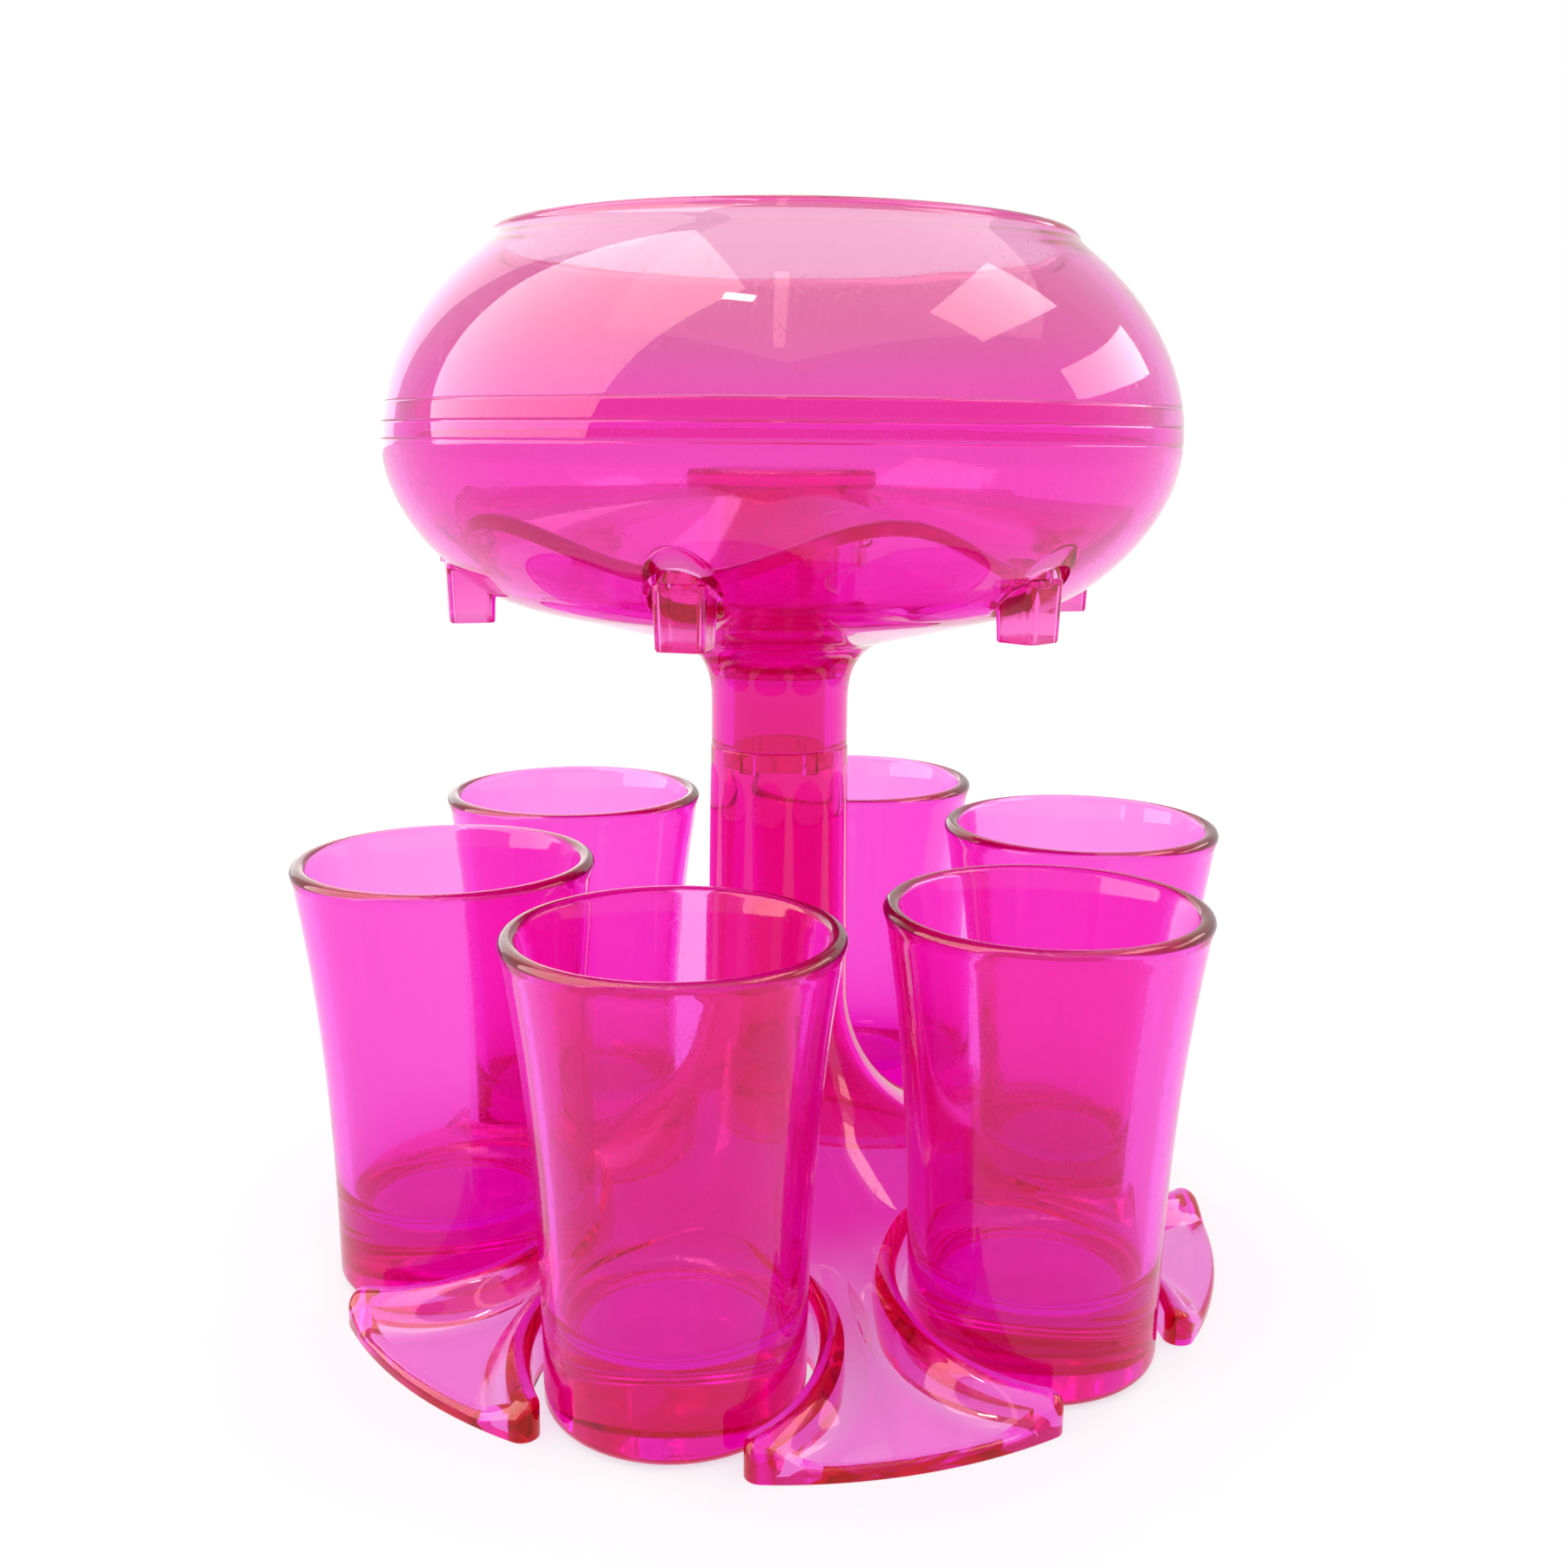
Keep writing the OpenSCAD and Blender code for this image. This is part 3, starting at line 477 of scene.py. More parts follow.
def petal_angles(side, half_columns, blend):
    """Angles of one petal's columns, row by row, from the pocket at 0 to the next at 60 degrees.

    side is the row's start as (x, y); blend runs from 0, evenly spread, to 1, close beside the pocket."""
    r, start = np.hypot(*side.T), np.arctan2(side[:, 1], side[:, 0])
    span = sector / 2 - start
    wall = side_shares(span * r, *half_columns)
    even = np.linspace(0, 1, wall.shape[1])[None, :]
    share = even + (wall - even) * blend[:, None]
    left = start[:, None] + span[:, None] * share
    return np.concatenate([left, sector - left[:, -2::-1]], axis=1)


def folded(angle):
    """Angle from the nearer pocket's middle."""
    return np.minimum(angle, sector - angle)


def petal_points(r, angle, z):
    """The same petal six times round: a list of grids turned to their stations."""
    grid = np.stack([r * np.cos(angle), r * np.sin(angle), z], axis=2)
    return [grid @ level_turn(np.radians(60 * k - 90)).T for k in range(station_count)]


def petal_sides(rows_pocket, rows_end):
    """Start of each row beside a pocket: along the pocket's circle, then round the end of its wall."""
    tangent = np.degrees(np.arctan2(end_y, end_x - glass_ring_r))
    pocket = arc(glass_ring_r, 0, pocket_r, 180, tangent, rows_pocket)
    end = arc(end_x, end_y, end_r, tangent - 180, np.degrees(np.arctan2(end_y, end_x)), rows_end)
    return np.concatenate([pocket, end[1:]])


def stand_grids():
    """Upper skin, underside, socket and the walls between them, as grids whose edges meet."""
    def spread(values):
        """One value a row, the same in every column."""
        return np.repeat(values[:, None], columns, axis=1)

    half_columns = (6, 10, 8)
    columns = 2 * sum(half_columns) + 1
    lip_w, lip_drop, mouth_round, crowding = 0.4, 0.35, 0.15, 1.5
    # column and sweep: lines of revolution, given by radius and height
    column = pairs(np.linspace(column_r, column_foot_r, 14),
                   np.linspace(column_h - lip_drop, sweep_top_h, 14))
    lip = bend((column_r - lip_w, column_h), (column_r, column_h), column[0], 4)
    sweep = arc(column_foot_r + sweep_r, sweep_top_h, sweep_r, 180, 180 + sweep_turn, 22)
    trunk = np.concatenate([lip[:-1], column[:-1], sweep])
    near_steps = np.concatenate([np.linspace(pocket_flank_w + crest_r, crest_r, 10)[:-1],
                                 crest_r * (1 - np.cos(np.linspace(np.pi / 2, 0, 6)))])
    start_r = pocket_near_r - pocket_flank_w - crest_r
    foot_r = np.concatenate([np.linspace(foot_start_r, start_r, 5)[1:-1], pocket_near_r - near_steps])
    sides = np.concatenate([pairs(foot_r[:-1], 0), petal_sides(56, 14)])
    blend = np.clip((sides[:, 0] - foot_start_r) / (pocket_near_r - foot_start_r), 0, 1) ** crowding
    blend[len(foot_r) - 1:] = 1.0
    trunk_turn = petal_angles(pairs(trunk[:, 0], 0), half_columns, np.zeros(len(trunk)))
    skin_turn = petal_angles(sides, half_columns, blend)
    skin_r = spread(np.hypot(*sides.T))
    skin_z = petal_z(skin_r * np.cos(folded(skin_turn)), skin_r * np.sin(folded(skin_turn)))
    angle = np.concatenate([trunk_turn, skin_turn])
    radius = np.concatenate([spread(trunk[:, 0]), skin_r])
    height = np.concatenate([spread(trunk[:, 1]), skin_z])

    # underside: the same forms, one wall lower, up to the inner faces of the walls
    corner_turn = np.degrees(np.arctan2(hollow_y, hollow_x - glass_ring_r))
    under_side = arc(glass_ring_r, 0, pocket_r + pocket_wall, 180, corner_turn, 40)
    under_near = pocket_near_r - pocket_wall
    under_r = np.linspace(foot_start_r, under_near, 12)[1:-1]
    under_sides = np.concatenate([pairs(under_r, 0), under_side])
    under_turn = petal_angles(under_sides, half_columns, np.zeros(len(under_sides)))
    low_r = spread(np.hypot(*under_sides.T))
    steep = np.hypot(foot_slope(low_r), 1)
    low_z = petal_z(low_r * np.cos(folded(under_turn)), low_r * np.sin(folded(under_turn)),
                    rolls=False) - stand_wall * steep
    under_sweep = arc(column_foot_r + sweep_r, sweep_top_h, sweep_r + stand_wall, 180, 180 + sweep_turn, 16)
    slot_floor = column_h - slot_depth
    bore = pairs(np.linspace(socket_r, under_sweep[0, 0], 10), np.linspace(slot_floor, sweep_top_h, 10))
    inner = np.concatenate([bore[:-1], under_sweep])
    inner_turn = petal_angles(pairs(inner[:, 0], 0), half_columns, np.zeros(len(inner)))
    # socket mouth: in a slot's columns the wall stands back by slot_out
    even = inner_turn[:1]
    from_slot = np.abs(even - np.radians(slot_turn)) * (socket_r + slot_out / 2)
    stepped = socket_r + slot_out * (from_slot < slot_w / 2)
    mouth_r = np.concatenate([0 * even + column_r - lip_w, stepped + mouth_round, stepped, stepped])
    mouth_z = np.array([column_h, column_h, column_h - mouth_round, slot_floor])[:, None] + 0 * even
    in_turn = np.concatenate([np.repeat(even, 4, axis=0), inner_turn, under_turn])
    in_radius = np.concatenate([mouth_r, spread(inner[:, 0]), low_r])
    in_height = np.concatenate([mouth_z, spread(inner[:, 1]), low_z])

    upper = petal_points(radius, angle, height)
    lower = petal_points(in_radius, in_turn, in_height)
    # outline of a petal: out along one pocket, along the edge, and back along the next pocket
    first = len(trunk) + len(foot_r) - 1
    under_first = 4 + len(inner) + len(under_r)
    grids = [(grid, False) for grid in upper + lower]
    for top, below in zip(upper, lower):
        outline = np.concatenate([top[first:, 0], top[-1, 1:], top[first:-1, -1][::-1]])
        spare = len(top) - first - (len(below) - under_first)
        inline = np.concatenate([below[under_first:, 0], np.repeat(below[-1:, 0], spare, axis=0),
                                 below[-1, 1:], np.repeat(below[-1:, -1], spare, axis=0),
                                 below[under_first:-1, -1][::-1]])
        on_table = np.array([1.0, 1.0, 0.0])
        side = np.linspace(0, 1, 5)[:, None, None]
        wall = outline[None] * (1 - side) + (outline * on_table)[None] * side
        ring = np.stack([outline * on_table, inline * on_table])
        grids += [(wall, False), (ring, False), (np.stack([inline * on_table, inline]), False)]
    return grids


# Painted light and shade: the stand's skin is paler on the low petals, where they glow over the white table,
# and deeper up the column, from 5 to 16 mm up.
stand_plastic = clear_plastic("stand_plastic", 300, (0.99, 0.0, 0.90), (0.95, 0.60, 0.82),
                              (0.90, 0.08, 0.56), 5, 16)
moulded("petal_stand", stand_grids(), stand_plastic, "stand", ["base_stand"], crease=40)

# ---- bowl --------------------------------------------------------------------
# Two clear shells glued at a seam just over the bowl's widest line. The lower
# one ends in a neck with a keyed spigot that drops into the column; its tongue
# stands inside the upper one. Six round holes in it let the spouts through.

bowl_top_h, mouth_r, bowl_r, belly_h, bowl_depth = 167.0, 46.0, 63.0, 136.0, 36.5
bottom_r, bottom_slope, bowl_wall, rim_bead_r = 45.4, 0.24, 2.5, 1.5
seam_h, tongue_up, tongue_down, tongue_t, tongue_gap = 138.0, 2.7, 2.5, 1.2, 0.1
neck_r, neck_wall, neck_step_h = 11.3, 2.0, 98.6
spigot_len, spigot_wall, spigot_gap, key_w, key_out = 3.5, 1.6, 0.1, 2.0, 0.8
seat_r, seat_h = 14.0, 107.5
spout_ring_r, spout_hole_r = 50.0, 5.2
hair = 0.02           # air left between faces that touch on the real object

spigot_r = socket_r - spigot_gap
neck_bore_r = neck_r - neck_wall
groove_h, band_edge_h = 135.4, 140.9      # fine lines under and over the seam
upper_rise = (bowl_top_h - rim_bead_r - belly_h) / np.sqrt(1 - (mouth_r / bowl_r) ** 2)


def upper_line(z):
    """Outer radius of the upper shell: part of an ellipse round the belly."""
    return bowl_r * np.sqrt(1 - ((z - belly_h) / upper_rise) ** 2)


def offset(line, distance):
    """The line moved sideways by distance, to the left of its direction."""
    along = np.gradient(line, axis=0)
    along /= np.linalg.norm(along, axis=1)[:, None]
    return line + distance * pairs(-along[:, 1], along[:, 0])


def scored(line, heights, depth=0.09, width=0.16):
    """The line with a fine groove at each height, depth exp(-(distance / width)^2) deep."""
    cut = sum(depth * np.exp(-((line[:, 1] - height) / width) ** 2) for height in heights)
    return line - pairs(cut, 0)


def lower_line():
    """Outside of the lower shell, from the neck's lower end: fillet, cone, blend, and part of an ellipse."""
    lower_end = np.arccos(bottom_r / bowl_r)
    bottom_h = belly_h - bowl_depth * np.sin(lower_end)
    blend_turn, blend_run, fillet_run, fillet_drop = np.radians(5), 6.0, 7.0, 8.5

    def cone_z(r):
        """Height of the cone at a radius: a straight slope up to the bottom's edge."""
        return bottom_h - (bottom_r - r) * bottom_slope

    def round_point(a):
        """Point of the ellipse at an angle below the belly."""
        return pairs(bowl_r * np.cos(a), belly_h - bowl_depth * np.sin(a))

    neck = pairs(neck_r, np.linspace(column_h, cone_z(neck_r) - fillet_drop, 6))
    fillet = bend((neck_r, cone_z(neck_r) - fillet_drop), (neck_r, cone_z(neck_r)),
                  (neck_r + fillet_run, cone_z(neck_r + fillet_run)), 14)
    cone_r = np.linspace(neck_r + fillet_run, bottom_r - blend_run, 16)[1:-1]
    cone = pairs(cone_r, cone_z(cone_r))
    blend = bend((bottom_r - blend_run, cone_z(bottom_r - blend_run)), (bottom_r, bottom_h),
                 round_point(lower_end - blend_turn), 14)
    groove_turn = 2.2
    turns = np.union1d(np.linspace(0, lower_end - blend_turn, 60),
                       np.radians(np.linspace(0, groove_turn, 24)))
    side = round_point(turns[::-1])[1:]
    seam_z = np.linspace(belly_h, seam_h - hair, 30)[1:]
    seam = pairs(upper_line(seam_z), seam_z)
    return np.concatenate([neck[:-1], fillet, cone, blend, side, seam])


def measured(line):
    """The way along the line at each of its points."""
    return np.concatenate([[0], np.cumsum(np.linalg.norm(np.diff(line, axis=0), axis=1))])


def way_at_radius(line, r):
    """How far along the line a radius is reached, on the part below the belly."""
    rising = np.arange(len(line)) <= np.argmax(line[:, 0])
    return np.interp(r, line[rising, 0], measured(line)[rising])


def on_line(line, way, angle):
    """Points of the surface of revolution at that way along the line and that angle from glass 1."""
    s = measured(line)
    return round_axis(np.interp(way, s, line[:, 0]), angle, np.interp(way, s, line[:, 1]))


def column_turns(columns):
    """Angles of a full round of columns; the first lies halfway between the last glass and the first."""
    return np.linspace(0, 2 * np.pi, columns, endpoint=False)[None] - sector / 2


def at_station(x, y, k):
    """Turns points, given outwards from the column and sideways, to station k + 1."""
    spin = 2 * np.pi * k / station_count
    return x * np.sin(spin) + y * np.cos(spin), -x * np.cos(spin) + y * np.sin(spin)


def pierced(line, low_r, high_r, hole_r, cells_round, cells_up, rows):
    """The band of a surface of revolution between two radii, as six sectors with a round hole in each.

    A sector is a grid whose first row is the hole and whose last row is the sector's own frame. Each row lies
    between them, by the share v. Returns the six grids and the turns of the points round a hole."""
    crowding = 1.4
    low, high = way_at_radius(line, low_r), way_at_radius(line, high_r)
    half = sector / 2
    across, up = (np.linspace(0, 1, cells, endpoint=False) for cells in (cells_round, cells_up))
    bottom = pairs(low, -half + sector * across)
    right = pairs(low + (high - low) * up, half)
    top = pairs(high, half - sector * across)
    left = pairs(high - (high - low) * up, -half)
    sector_frame = np.concatenate([bottom, right, top, left])
    middle = way_at_radius(line, spout_ring_r)
    turn = np.arctan2(sector_frame[:, 1] * spout_ring_r, sector_frame[:, 0] - middle)
    x, y = spout_ring_r + hole_r * np.cos(turn), hole_r * np.sin(turn)
    hole = pairs(way_at_radius(line, np.hypot(x, y)), np.arctan2(y, x))
    v = (np.linspace(0, 1, rows + 1) ** crowding)[:, None, None]
    between = hole[None] * (1 - v) + sector_frame[None] * v
    grids = [on_line(line, between[..., 0], between[..., 1] + sector * k) for k in range(station_count)]
    return grids, turn


def hole_ring(hole_r, turn, z, k):
    """Ring of points round the upright axis of hole k + 1: radius hole_r, heights z, at the given turns."""
    x, y = at_station(spout_ring_r + hole_r * np.cos(turn), hole_r * np.sin(turn), k)
    return np.stack([x, y, z], axis=1)


def band(line, from_way, to_way, rows, columns):
    """The full round of a surface of revolution between two ways along its line."""
    way = np.linspace(from_way, to_way, rows + 1)[:, None]
    turn = column_turns(columns)
    return on_line(line, way + 0 * turn, turn + 0 * way)


def lower_shell_grids():
    """Outside and inside with their holes, the rounded lips between, the tongue, and the keyed spigot."""
    cells_round, cells_up, rows = 40, 26, 12
    columns = station_count * cells_round
    low_r, high_r, fine_run = 41.0, 59.5, 4.0
    lip, tongue_round, neck_round, spigot_lead, key_round = 0.45, 0.18, 0.2, 0.5, 0.3
    outside = lower_line()
    inside = offset(outside, bowl_wall)
    keep = (inside[:, 0] > seat_r) & (inside[:, 1] < seam_h - tongue_down)
    seat_edge = np.array([seat_r, seat_h])
    top_edge = np.array([np.interp(seam_h - tongue_down, inside[:, 1], inside[:, 0]), seam_h - tongue_down])
    inside = np.concatenate([seat_edge[None], inside[keep], top_edge[None]])
    outside = scored(outside, (groove_h, seam_h))
    grids, rims = [], []
    for line in (outside, inside):
        low, high = way_at_radius(line, low_r), way_at_radius(line, high_r)
        end = measured(line)[-1]
        for start, stop, steps in ((0, low, 30), (high, end - fine_run, 18), (end - fine_run, end, 60)):
            grids.append((band(line, start, stop, steps, columns), True))
        sectors, turn = pierced(line, low_r, high_r, spout_hole_r + lip, cells_round, cells_up, rows)
        grids += [(grid, True) for grid in sectors]
        rims.append(([grid[0] for grid in sectors], turn))
    (lower_rims, lower_turn), (upper_rims, upper_turn) = rims
    lip_rows = [(1.0, 0.0), (0.3, 0.3), (0.0, 1.0)]
    for k, (below, above) in enumerate(zip(lower_rims, upper_rims)):
        lower_lip = [hole_ring(spout_hole_r + lip * out, lower_turn, below[:, 2] + lip * up, k)
                     for out, up in lip_rows]
        upper_lip = [hole_ring(spout_hole_r + lip * out, upper_turn, above[:, 2] - lip * up, k)
                     for out, up in lip_rows[::-1]]
        lower_lip[0], upper_lip[-1] = below, above
        grids.append((np.stack(lower_lip + upper_lip), True))

    tongue_out_r = upper_line(seam_h + tongue_up) - bowl_wall - tongue_gap
    tongue_in_r = tongue_out_r - tongue_t
    tongue = eased([outside[-1], (tongue_out_r, seam_h - hair), (tongue_out_r, seam_h + tongue_up),
                    (tongue_in_r, seam_h + tongue_up), (tongue_in_r, seam_h - tongue_down), top_edge],
                   tongue_round)
    spigot_bore_r = spigot_r - spigot_wall
    spigot_low = column_h - spigot_len
    neck = eased([seat_edge, (neck_bore_r, seat_h), (neck_bore_r, neck_step_h), (spigot_bore_r, neck_step_h),
                  (spigot_bore_r, spigot_low), (spigot_r - spigot_lead, spigot_low)], neck_round)
    turned = column_turns(columns)
    # the spigot's skin, with six keys that stand out of it
    from_key = (np.degrees(turned) - slot_turn + 30) % 60 - 30
    skin_r = spigot_r + key_out * (np.abs(np.radians(from_key)) * (spigot_r + key_out) < key_w / 2)
    radii = np.concatenate([0 * skin_r + spigot_r - spigot_lead, skin_r - key_round, skin_r, skin_r,
                            0 * skin_r + neck_r])
    heights = np.array([spigot_low, spigot_low, spigot_low + key_round, column_h + hair, column_h + hair])
    skin = round_axis(radii, turned, heights[:, None])
    step = np.stack([skin[-1], band(outside, 0, 0, 1, columns)[0]])
    for line in (tongue, neck):
        grids.append((on_line(line, measured(line)[:, None] + 0 * turned, turned + 0 * line[:, :1]), True))
    return grids + [(skin, True), (step, True)]


def upper_shell_line():
    """Section of the upper shell: outside up to the rolled bead of the rim, over it, and down the inside."""
    bead_start, bead_end, outer_run, inner_run, lead = 8, 218, 6, 3.2, 0.9
    groove_room, foot_room, foot_round = 0.5, 0.4, 0.15
    z = np.union1d(np.linspace(seam_h + hair, bowl_top_h - rim_bead_r, 60),
                   np.linspace(seam_h + hair, band_edge_h + groove_room, 60))
    outside = pairs(upper_line(z), z)
    inside = offset(outside, bowl_wall)
    outside = scored(outside, (seam_h, band_edge_h))
    bead = arc(mouth_r - bowl_wall / 2, bowl_top_h - rim_bead_r, rim_bead_r, bead_start, bead_end, 22)
    outer_blend = bend(outside[-outer_run], outside[-2], bead[0], 5)
    inner_end = inside[inside[:, 1] < bead[-1, 1] - inner_run][-1]
    onward = lead * (bead[-1] - bead[-2]) / np.linalg.norm(bead[-1] - bead[-2])
    inner_blend = bend(bead[-1], bead[-1] + onward, inner_end, 6)
    inner_part = inside[(inside[:, 1] < inner_end[1]) & (inside[:, 1] > seam_h + foot_room)][::-1]
    foot = np.array([[inner_part[-1, 0], seam_h + hair]])
    return eased(np.concatenate([foot, outside[:-outer_run], outer_blend, bead[1:-1], inner_blend,
                                 inner_part, foot]), foot_round)


# Painted shade and painted reflection: the lower shell's skin is deeper towards the neck, from 92 to 110 mm,
# and the upper shell's is paler towards the rim, from 138 to 162 mm, where the bowl's upper band shows pale
# window reflections.
lower_plastic = clear_plastic("lower_shell_plastic", 290, (0.985, 0.0, 0.92), (0.86, 0.06, 0.50),
                              (0.95, 0.45, 0.74), 92, 110)
upper_plastic = clear_plastic("upper_shell_plastic", 250, (0.985, 0.0, 0.90), (0.93, 0.52, 0.74),
                              (0.84, 0.78, 0.62), 138, 162)
moulded("lower_shell", lower_shell_grids(), lower_plastic, "bowl", ["bowl_lower_shell"])
moulded("upper_shell", [(revolved(upper_shell_line(), 288), True)], upper_plastic, "bowl",
        ["bowl_upper_shell"])

# ---- tray and plug -----------------------------------------------------------
# The tray splits the drink: six valleys fall from its hub to six outlets, with
# ridges between them, and a sleeve under the hub stands on the shell's seat.
# The plug's round disc is the hub's top, and its stem holds the tray down.

tray_wall, tray_gap, tray_hub_h, tray_hub_r = 1.8, 0.4, 128.5, 14.5
ridge_slope, sleeve_wall = 0.06, 3.0
plug_disc_r, plug_disc_t, plug_disc_round, plug_wall, plug_gap = 15.3, 2.5, 1.0, 1.6, 0.06
spout_neck_r, spout_neck_gap, spout_shoulder_h, outlet_wall, outlet_rise = 3.4, 0.06, 117.0, 1.1, 0.5
valley_over = 1.9     # height of a valley over the spouts' shoulders, at the outlets' middles
valley_slope = (tray_hub_h - spout_shoulder_h - valley_over) / (spout_ring_r - tray_hub_r)


def tray_slope(angle):
    """Drop per millimetre in a direction: a cosine wave between the valleys and the ridges."""
    return valley_slope + (ridge_slope - valley_slope) * (1 - np.cos(station_count * angle)) / 2


def tray_edge_r(angle):
    """Radius at which the sheet's underside comes within tray_gap of the bowl's inner ellipse.

    There the line base + slope r meets depth sqrt(1 - (r / inner_r)^2): a quadratic equation in r."""
    depth, slope = bowl_depth - bowl_wall, tray_slope(angle)
    base = belly_h - tray_hub_h + tray_wall + tray_gap - slope * tray_hub_r
    square = slope**2 + (depth / (bowl_r - bowl_wall)) ** 2
    return (np.sqrt((base * slope) ** 2 - square * (base**2 - depth**2)) - base * slope) / square


def tray_top(x, y):
    """Height of the tray's top: the higher one of the sheet, which falls from the hub, and the outlet's lip.

    The fall sets in softly: at d out from the hub it is the slope times (d + sqrt(d^2 + soft^2)) / 2."""
    r, angle = np.hypot(x, y), np.arctan2(x, -y)
    soft = 0.6
    away = (r - tray_hub_r + np.sqrt((r - tray_hub_r) ** 2 + soft**2)) / 2
    sheet = tray_hub_h - np.where(r > tray_hub_r - 4 * soft, away, 0) * tray_slope(angle)
    beside = (angle + sector / 2) % sector - sector / 2
    outlet_top = tray_hub_h - (spout_ring_r - tray_hub_r) * valley_slope - tray_wall / 2
    lip = outlet_top + (r * np.cos(beside) - spout_ring_r) * outlet_rise
    return np.maximum(sheet, lip)


def tray_outline(block_r, outlet_r, cells):
    """One sector's frame in plan, (x outwards, y), and the number of its point where the lip starts.

    It runs along the block's circle, out along a ridge, back along the sheet's edge with the lip in its
    middle, and in along the other ridge."""
    def leaves_outlet(turn):
        """Radius at which a direction leaves the outlet's circle."""
        return spout_ring_r * np.cos(turn) + np.sqrt(outlet_r**2 - (spout_ring_r * np.sin(turn)) ** 2)

    round_cells, up_cells, lip_cells = cells
    half = sector / 2
    turn = np.linspace(0, np.arcsin(outlet_r / spout_ring_r), 4000)
    meet = turn[leaves_outlet(turn) >= tray_edge_r(turn)][-1]
    free_cells = (round_cells - lip_cells) // 2
    low = np.linspace(-half, half, round_cells, endpoint=False)
    up = np.linspace(block_r, tray_edge_r(half), up_cells, endpoint=False)
    down = np.linspace(tray_edge_r(half), block_r, up_cells, endpoint=False)
    free = np.linspace(half, meet, free_cells, endpoint=False)
    lip = np.linspace(meet, -meet, lip_cells, endpoint=False)
    last = np.linspace(-meet, -half, free_cells, endpoint=False)
    lip_r = leaves_outlet(lip)
    edge_r = np.concatenate([tray_edge_r(free), lip_r, lip_r[:1], tray_edge_r(last[1:])])
    angle = np.concatenate([low, np.full(up_cells, half), free, lip, last, np.full(up_cells, -half)])
    r = np.concatenate([np.full(round_cells, block_r), up, edge_r, down])
    return pairs(r * np.cos(angle), r * np.sin(angle)), round_cells + up_cells + free_cells


def outlet_turns(outline, lip_start, lip_cells):
    """Direction from the outlet's middle at which each point of a sector's frame is reached.

    The rays to the frame fan out evenly by the frame's length, and those to the lip meet it straight on."""
    onward = np.roll(outline, -(lip_start + lip_cells), axis=0)
    off_lip = len(outline) - lip_cells + 1
    way = measured(onward[:off_lip])
    corner = np.arctan2(onward[0, 1], onward[0, 0] - spout_ring_r)
    fan = corner + (-2 * np.pi - 2 * corner) * way / way[-1]
    on_lip = np.arctan2(onward[off_lip:, 1], onward[off_lip:, 0] - spout_ring_r)
    return np.roll(np.concatenate([fan, on_lip]), lip_start + lip_cells)


def tray_grids():
    """Top and bottom with their outlets, the outlet tubes, the sleeve, and the rounded outer edge."""
    cells_round, cells_up, lip_cells, rows, crowding = 36, 12, 12, 14, 1.4
    columns = station_count * cells_round
    block_r, edge_round, foot_web = 43.0, 0.9, 0.1
    outlet_bore_r = spout_neck_r + spout_neck_gap
    outlet_r = outlet_bore_r + outlet_wall
    sleeve_r = neck_bore_r + sleeve_wall
    outline, lip_start = tray_outline(block_r, outlet_r, (cells_round, cells_up, lip_cells))
    count = len(outline)
    turn = outlet_turns(outline, lip_start, lip_cells)
    share = (np.linspace(0, 1, rows + 1) ** crowding)[:, None, None]

    def placed(plan, k, drop, least=0.0):
        """Points of a plan at station k + 1, on the tray's top or drop under it, but no lower than least."""
        x, y = at_station(plan[..., 0], plan[..., 1], k)
        return np.stack([x, y, np.maximum(tray_top(x, y) - drop, least)], axis=-1)

    shrunk = outline.copy()
    on_edge = slice(cells_round + cells_up, 2 * cells_round + cells_up + 1)
    length = np.linalg.norm(outline[on_edge], axis=1, keepdims=True)
    shrunk[on_edge] = outline[on_edge] * (1 - edge_round / length)
    foot_h = spout_shoulder_h + foot_web

    def disc(first_r, drop):
        """The middle of the sheet, from its bore out to the sectors."""
        flat = pairs(np.linspace(first_r, block_r, 60), 0)
        grid = band(flat, 0, measured(flat)[-1], 30, columns)
        grid[..., 2] = tray_top(grid[..., 0], grid[..., 1]) - drop
        return grid

    grids = [(disc(neck_bore_r, 0.0), True), (disc(sleeve_r, tray_wall), True)]
    circle = pairs(np.cos(turn), np.sin(turn))
    middle = np.array([spout_ring_r, 0.0])
    for k in range(station_count):
        top = placed((middle + outlet_bore_r * circle) * (1 - share) + shrunk * share, k, 0.0)
        below = placed((middle + outlet_r * circle) * (1 - share) + outline * share, k, tray_wall, foot_h)
        open_part = np.roll(below, -(lip_start + lip_cells), axis=1)[:, :count - lip_cells + 1]
        grids += [(top, True), (open_part, False)]
        foot = np.full(count, spout_shoulder_h + hair)
        grids.append((np.stack([below[0], hole_ring(outlet_r, turn, foot, k),
                                hole_ring(outlet_bore_r, turn, foot, k), top[0]]), True))
        rim = []
        for a in np.radians(np.linspace(90, 0, 6)):
            plan = outline[on_edge] * (1 - edge_round * (1 - np.cos(a)) / length)
            ring = placed(shrunk[on_edge], k, edge_round * (1 - np.sin(a)))
            ring[:, :2] = placed(plan, k, 0.0)[:, :2]
            rim.append(ring)
        grids.append((np.stack(rim + [below[-1][on_edge]]), False))
    line = np.array([(sleeve_r, tray_hub_h - tray_wall), (sleeve_r, seat_h + hair),
                     (neck_bore_r, seat_h + hair), (neck_bore_r, tray_hub_h)])
    sleeve = round_axis(line[:, :1], column_turns(columns), line[:, 1:])
    sleeve[0], sleeve[-1] = grids[1][0][0], grids[0][0][0]
    return grids + [(sleeve, True)]


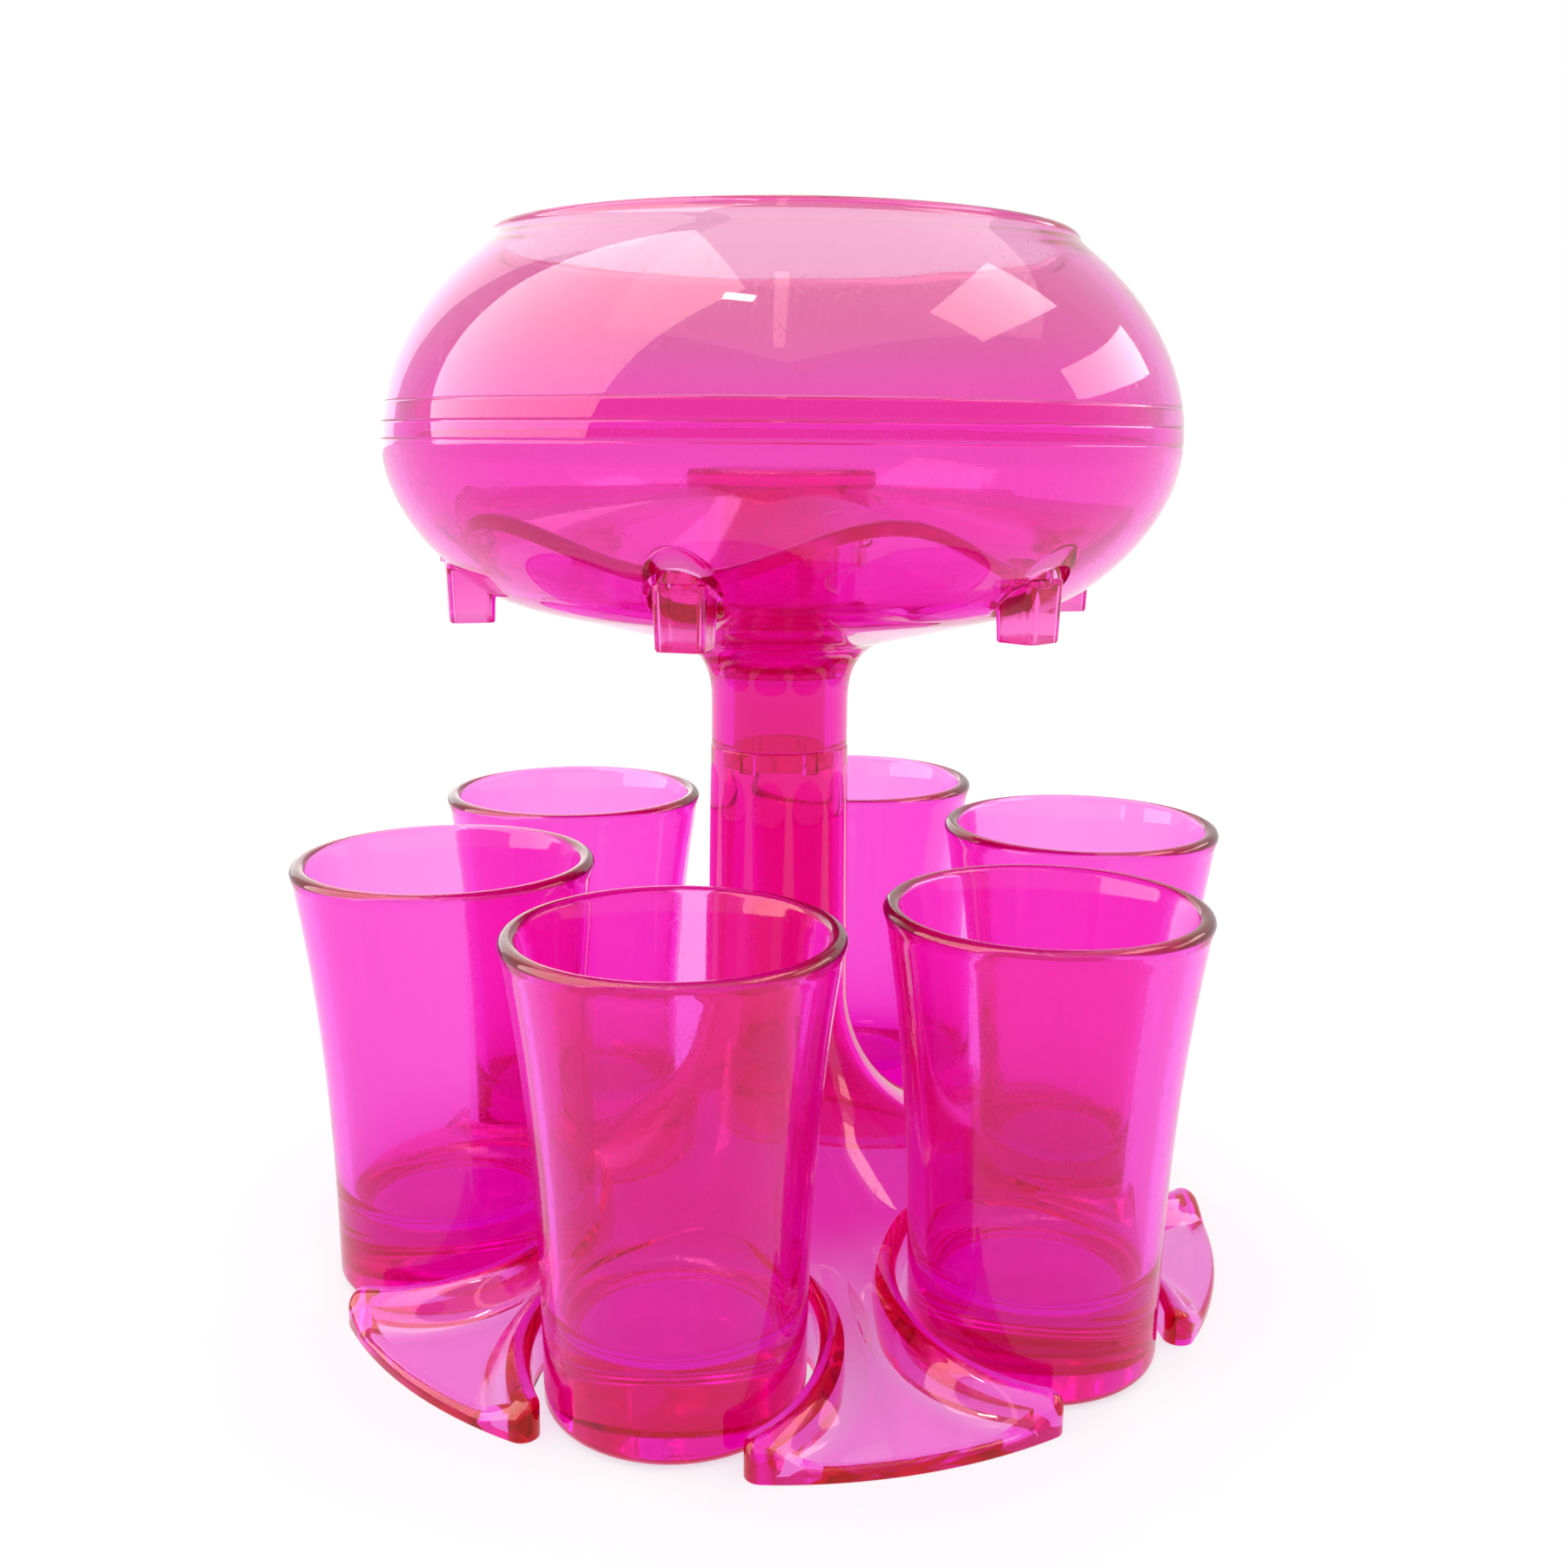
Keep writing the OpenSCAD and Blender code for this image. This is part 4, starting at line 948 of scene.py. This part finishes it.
def plug_line():
    """Section of the plug: a disc with a rounded upper edge on a hollow stem that is closed by the disc."""
    stem_r, low, top = neck_bore_r - plug_gap, tray_hub_h + hair, tray_hub_h + plug_disc_t
    stem_round = 0.25
    stem = [(0, low), (stem_r - plug_wall, low), (stem_r - plug_wall, neck_step_h + hair),
             (stem_r, neck_step_h + hair), (stem_r, low), (plug_disc_r, low)]
    rounded = arc(plug_disc_r - plug_disc_round, top - plug_disc_round, plug_disc_round, 0, 90, 8)
    under = eased([(stem_r, low), (plug_disc_r, low), rounded[0]], stem_round)
    return np.concatenate([eased(stem, stem_round)[:-1], under[1:-1], rounded, [(0, top)]])


# The skin's tint changes with height here too: the tray's between 112 and 128 mm, the plug's between 100 and
# 130 mm.
tray_plastic = clear_plastic("tray_plastic", 120, (0.995, 0.0, 0.95), (1.0, 0.50, 0.94),
                             (0.99, 0.58, 0.84), 112, 128, smooth=0.03, dull=0.10)
plug_plastic = clear_plastic("plug_plastic", 300, (0.995, 0.0, 0.97), (1.0, 0.15, 0.92),
                             (0.96, 0.12, 0.66), 100, 130, smooth=0.05, dull=0.16)
moulded("splitter_tray", tray_grids(), tray_plastic, "bowl", ["distributor_tray"])
moulded("hub_disc", [(revolved(plug_line(), 144), True)], plug_plastic, "bowl", ["hub_plug"])

# ---- six spouts --------------------------------------------------------------
# Short square tubes with round corners, a little narrower at the mouth. The
# round neck of each is pressed into an outlet of the tray, and the tube hangs
# through a hole in the lower shell over the open mouth of its glass.

spout_mouth_h, spout_w, spout_d, spout_wall, spout_corner_r = 107.7, 7.7, 7.6, 0.9, 1.5
spout_mouth_share, spout_neck_len, spout_neck_round = 0.92, 1.6, 0.2


def squared(width, depth, corner, turn):
    """Outline of a rectangle with round corners: in each direction, where its side or its corner is met."""
    c, s = np.cos(turn), np.sin(turn)
    inner_x, inner_y = depth / 2 - corner, width / 2 - corner
    flat = np.minimum(depth / 2 / np.maximum(np.abs(c), 1e-9), width / 2 / np.maximum(np.abs(s), 1e-9))
    along = inner_x * np.abs(c) + inner_y * np.abs(s)
    room = np.maximum(along**2 - (inner_x**2 + inner_y**2 - corner**2), 0)
    reach_corner = along + np.sqrt(room)
    x, y = np.abs(flat * c), np.abs(flat * s)
    reach = np.where((x > inner_x) & (y > inner_y), reach_corner, flat)
    return pairs(reach * c, reach * s)


def spout_grid(station):
    """Rows run up the outside, over the shoulder and neck, and down the bore and the inside to the mouth.

    The plans narrow evenly to spout_mouth_share at the mouth, whose two edges are bevelled over lip."""
    turn = np.linspace(0, 2 * np.pi, 96, endpoint=False)
    circle = pairs(np.cos(turn), np.sin(turn))
    top, roof = spout_shoulder_h - hair, spout_shoulder_h - spout_wall
    outer = squared(spout_w, spout_d, spout_corner_r, turn)
    inner = squared(spout_w - 2 * spout_wall, spout_d - 2 * spout_wall, spout_corner_r - spout_wall, turn)
    neck_bore_r, lip = spout_neck_r - spout_wall, 0.3
    rise = np.linspace(0, 1, 10)
    wide = spout_mouth_share + (1 - spout_mouth_share) * rise
    outer_z = spout_mouth_h + lip + (top - lip - spout_mouth_h - lip) * rise
    inner_z = spout_mouth_h + lip + (roof - spout_mouth_h - 2 * lip) * rise
    outer_lip, inner_lip, shoulder, ceiling = wide[0] - 0.04, wide[0] + 0.03, 0.96, 0.94
    neck_top = top + spout_neck_len
    rows = [(outer * outer_lip, spout_mouth_h)]
    rows += list(zip([outer * w for w in wide], outer_z))
    rows += [(outer * shoulder, top), (circle * spout_neck_r, top),
             (circle * spout_neck_r, neck_top - spout_neck_round),
             (circle * (spout_neck_r - spout_neck_round), neck_top), (circle * neck_bore_r, neck_top),
             (circle * neck_bore_r, roof), (inner * ceiling, roof)]
    rows += list(zip([inner * w for w in wide[::-1]], inner_z[::-1]))
    rows += [(inner * inner_lip, spout_mouth_h), rows[0]]
    plans, heights = (np.stack(values) for values in zip(*rows))
    x, y = at_station(spout_ring_r + plans[..., 0], plans[..., 1], station - 1)
    return np.stack([x, y, heights[:, None] + 0 * x], axis=2)


# The spout skin's tint changes with height, between 108 and 117 mm.
spout_plastic = clear_plastic("spout_plastic", 260, (0.985, 0.0, 0.92), (0.96, 0.50, 0.76),
                              (0.95, 0.36, 0.70), 108, 117)
for station in range(1, station_count + 1):
    moulded(f"pour_spout_{station}", [(spout_grid(station), True)], spout_plastic, "bowl",
            [f"spout_{station}"])
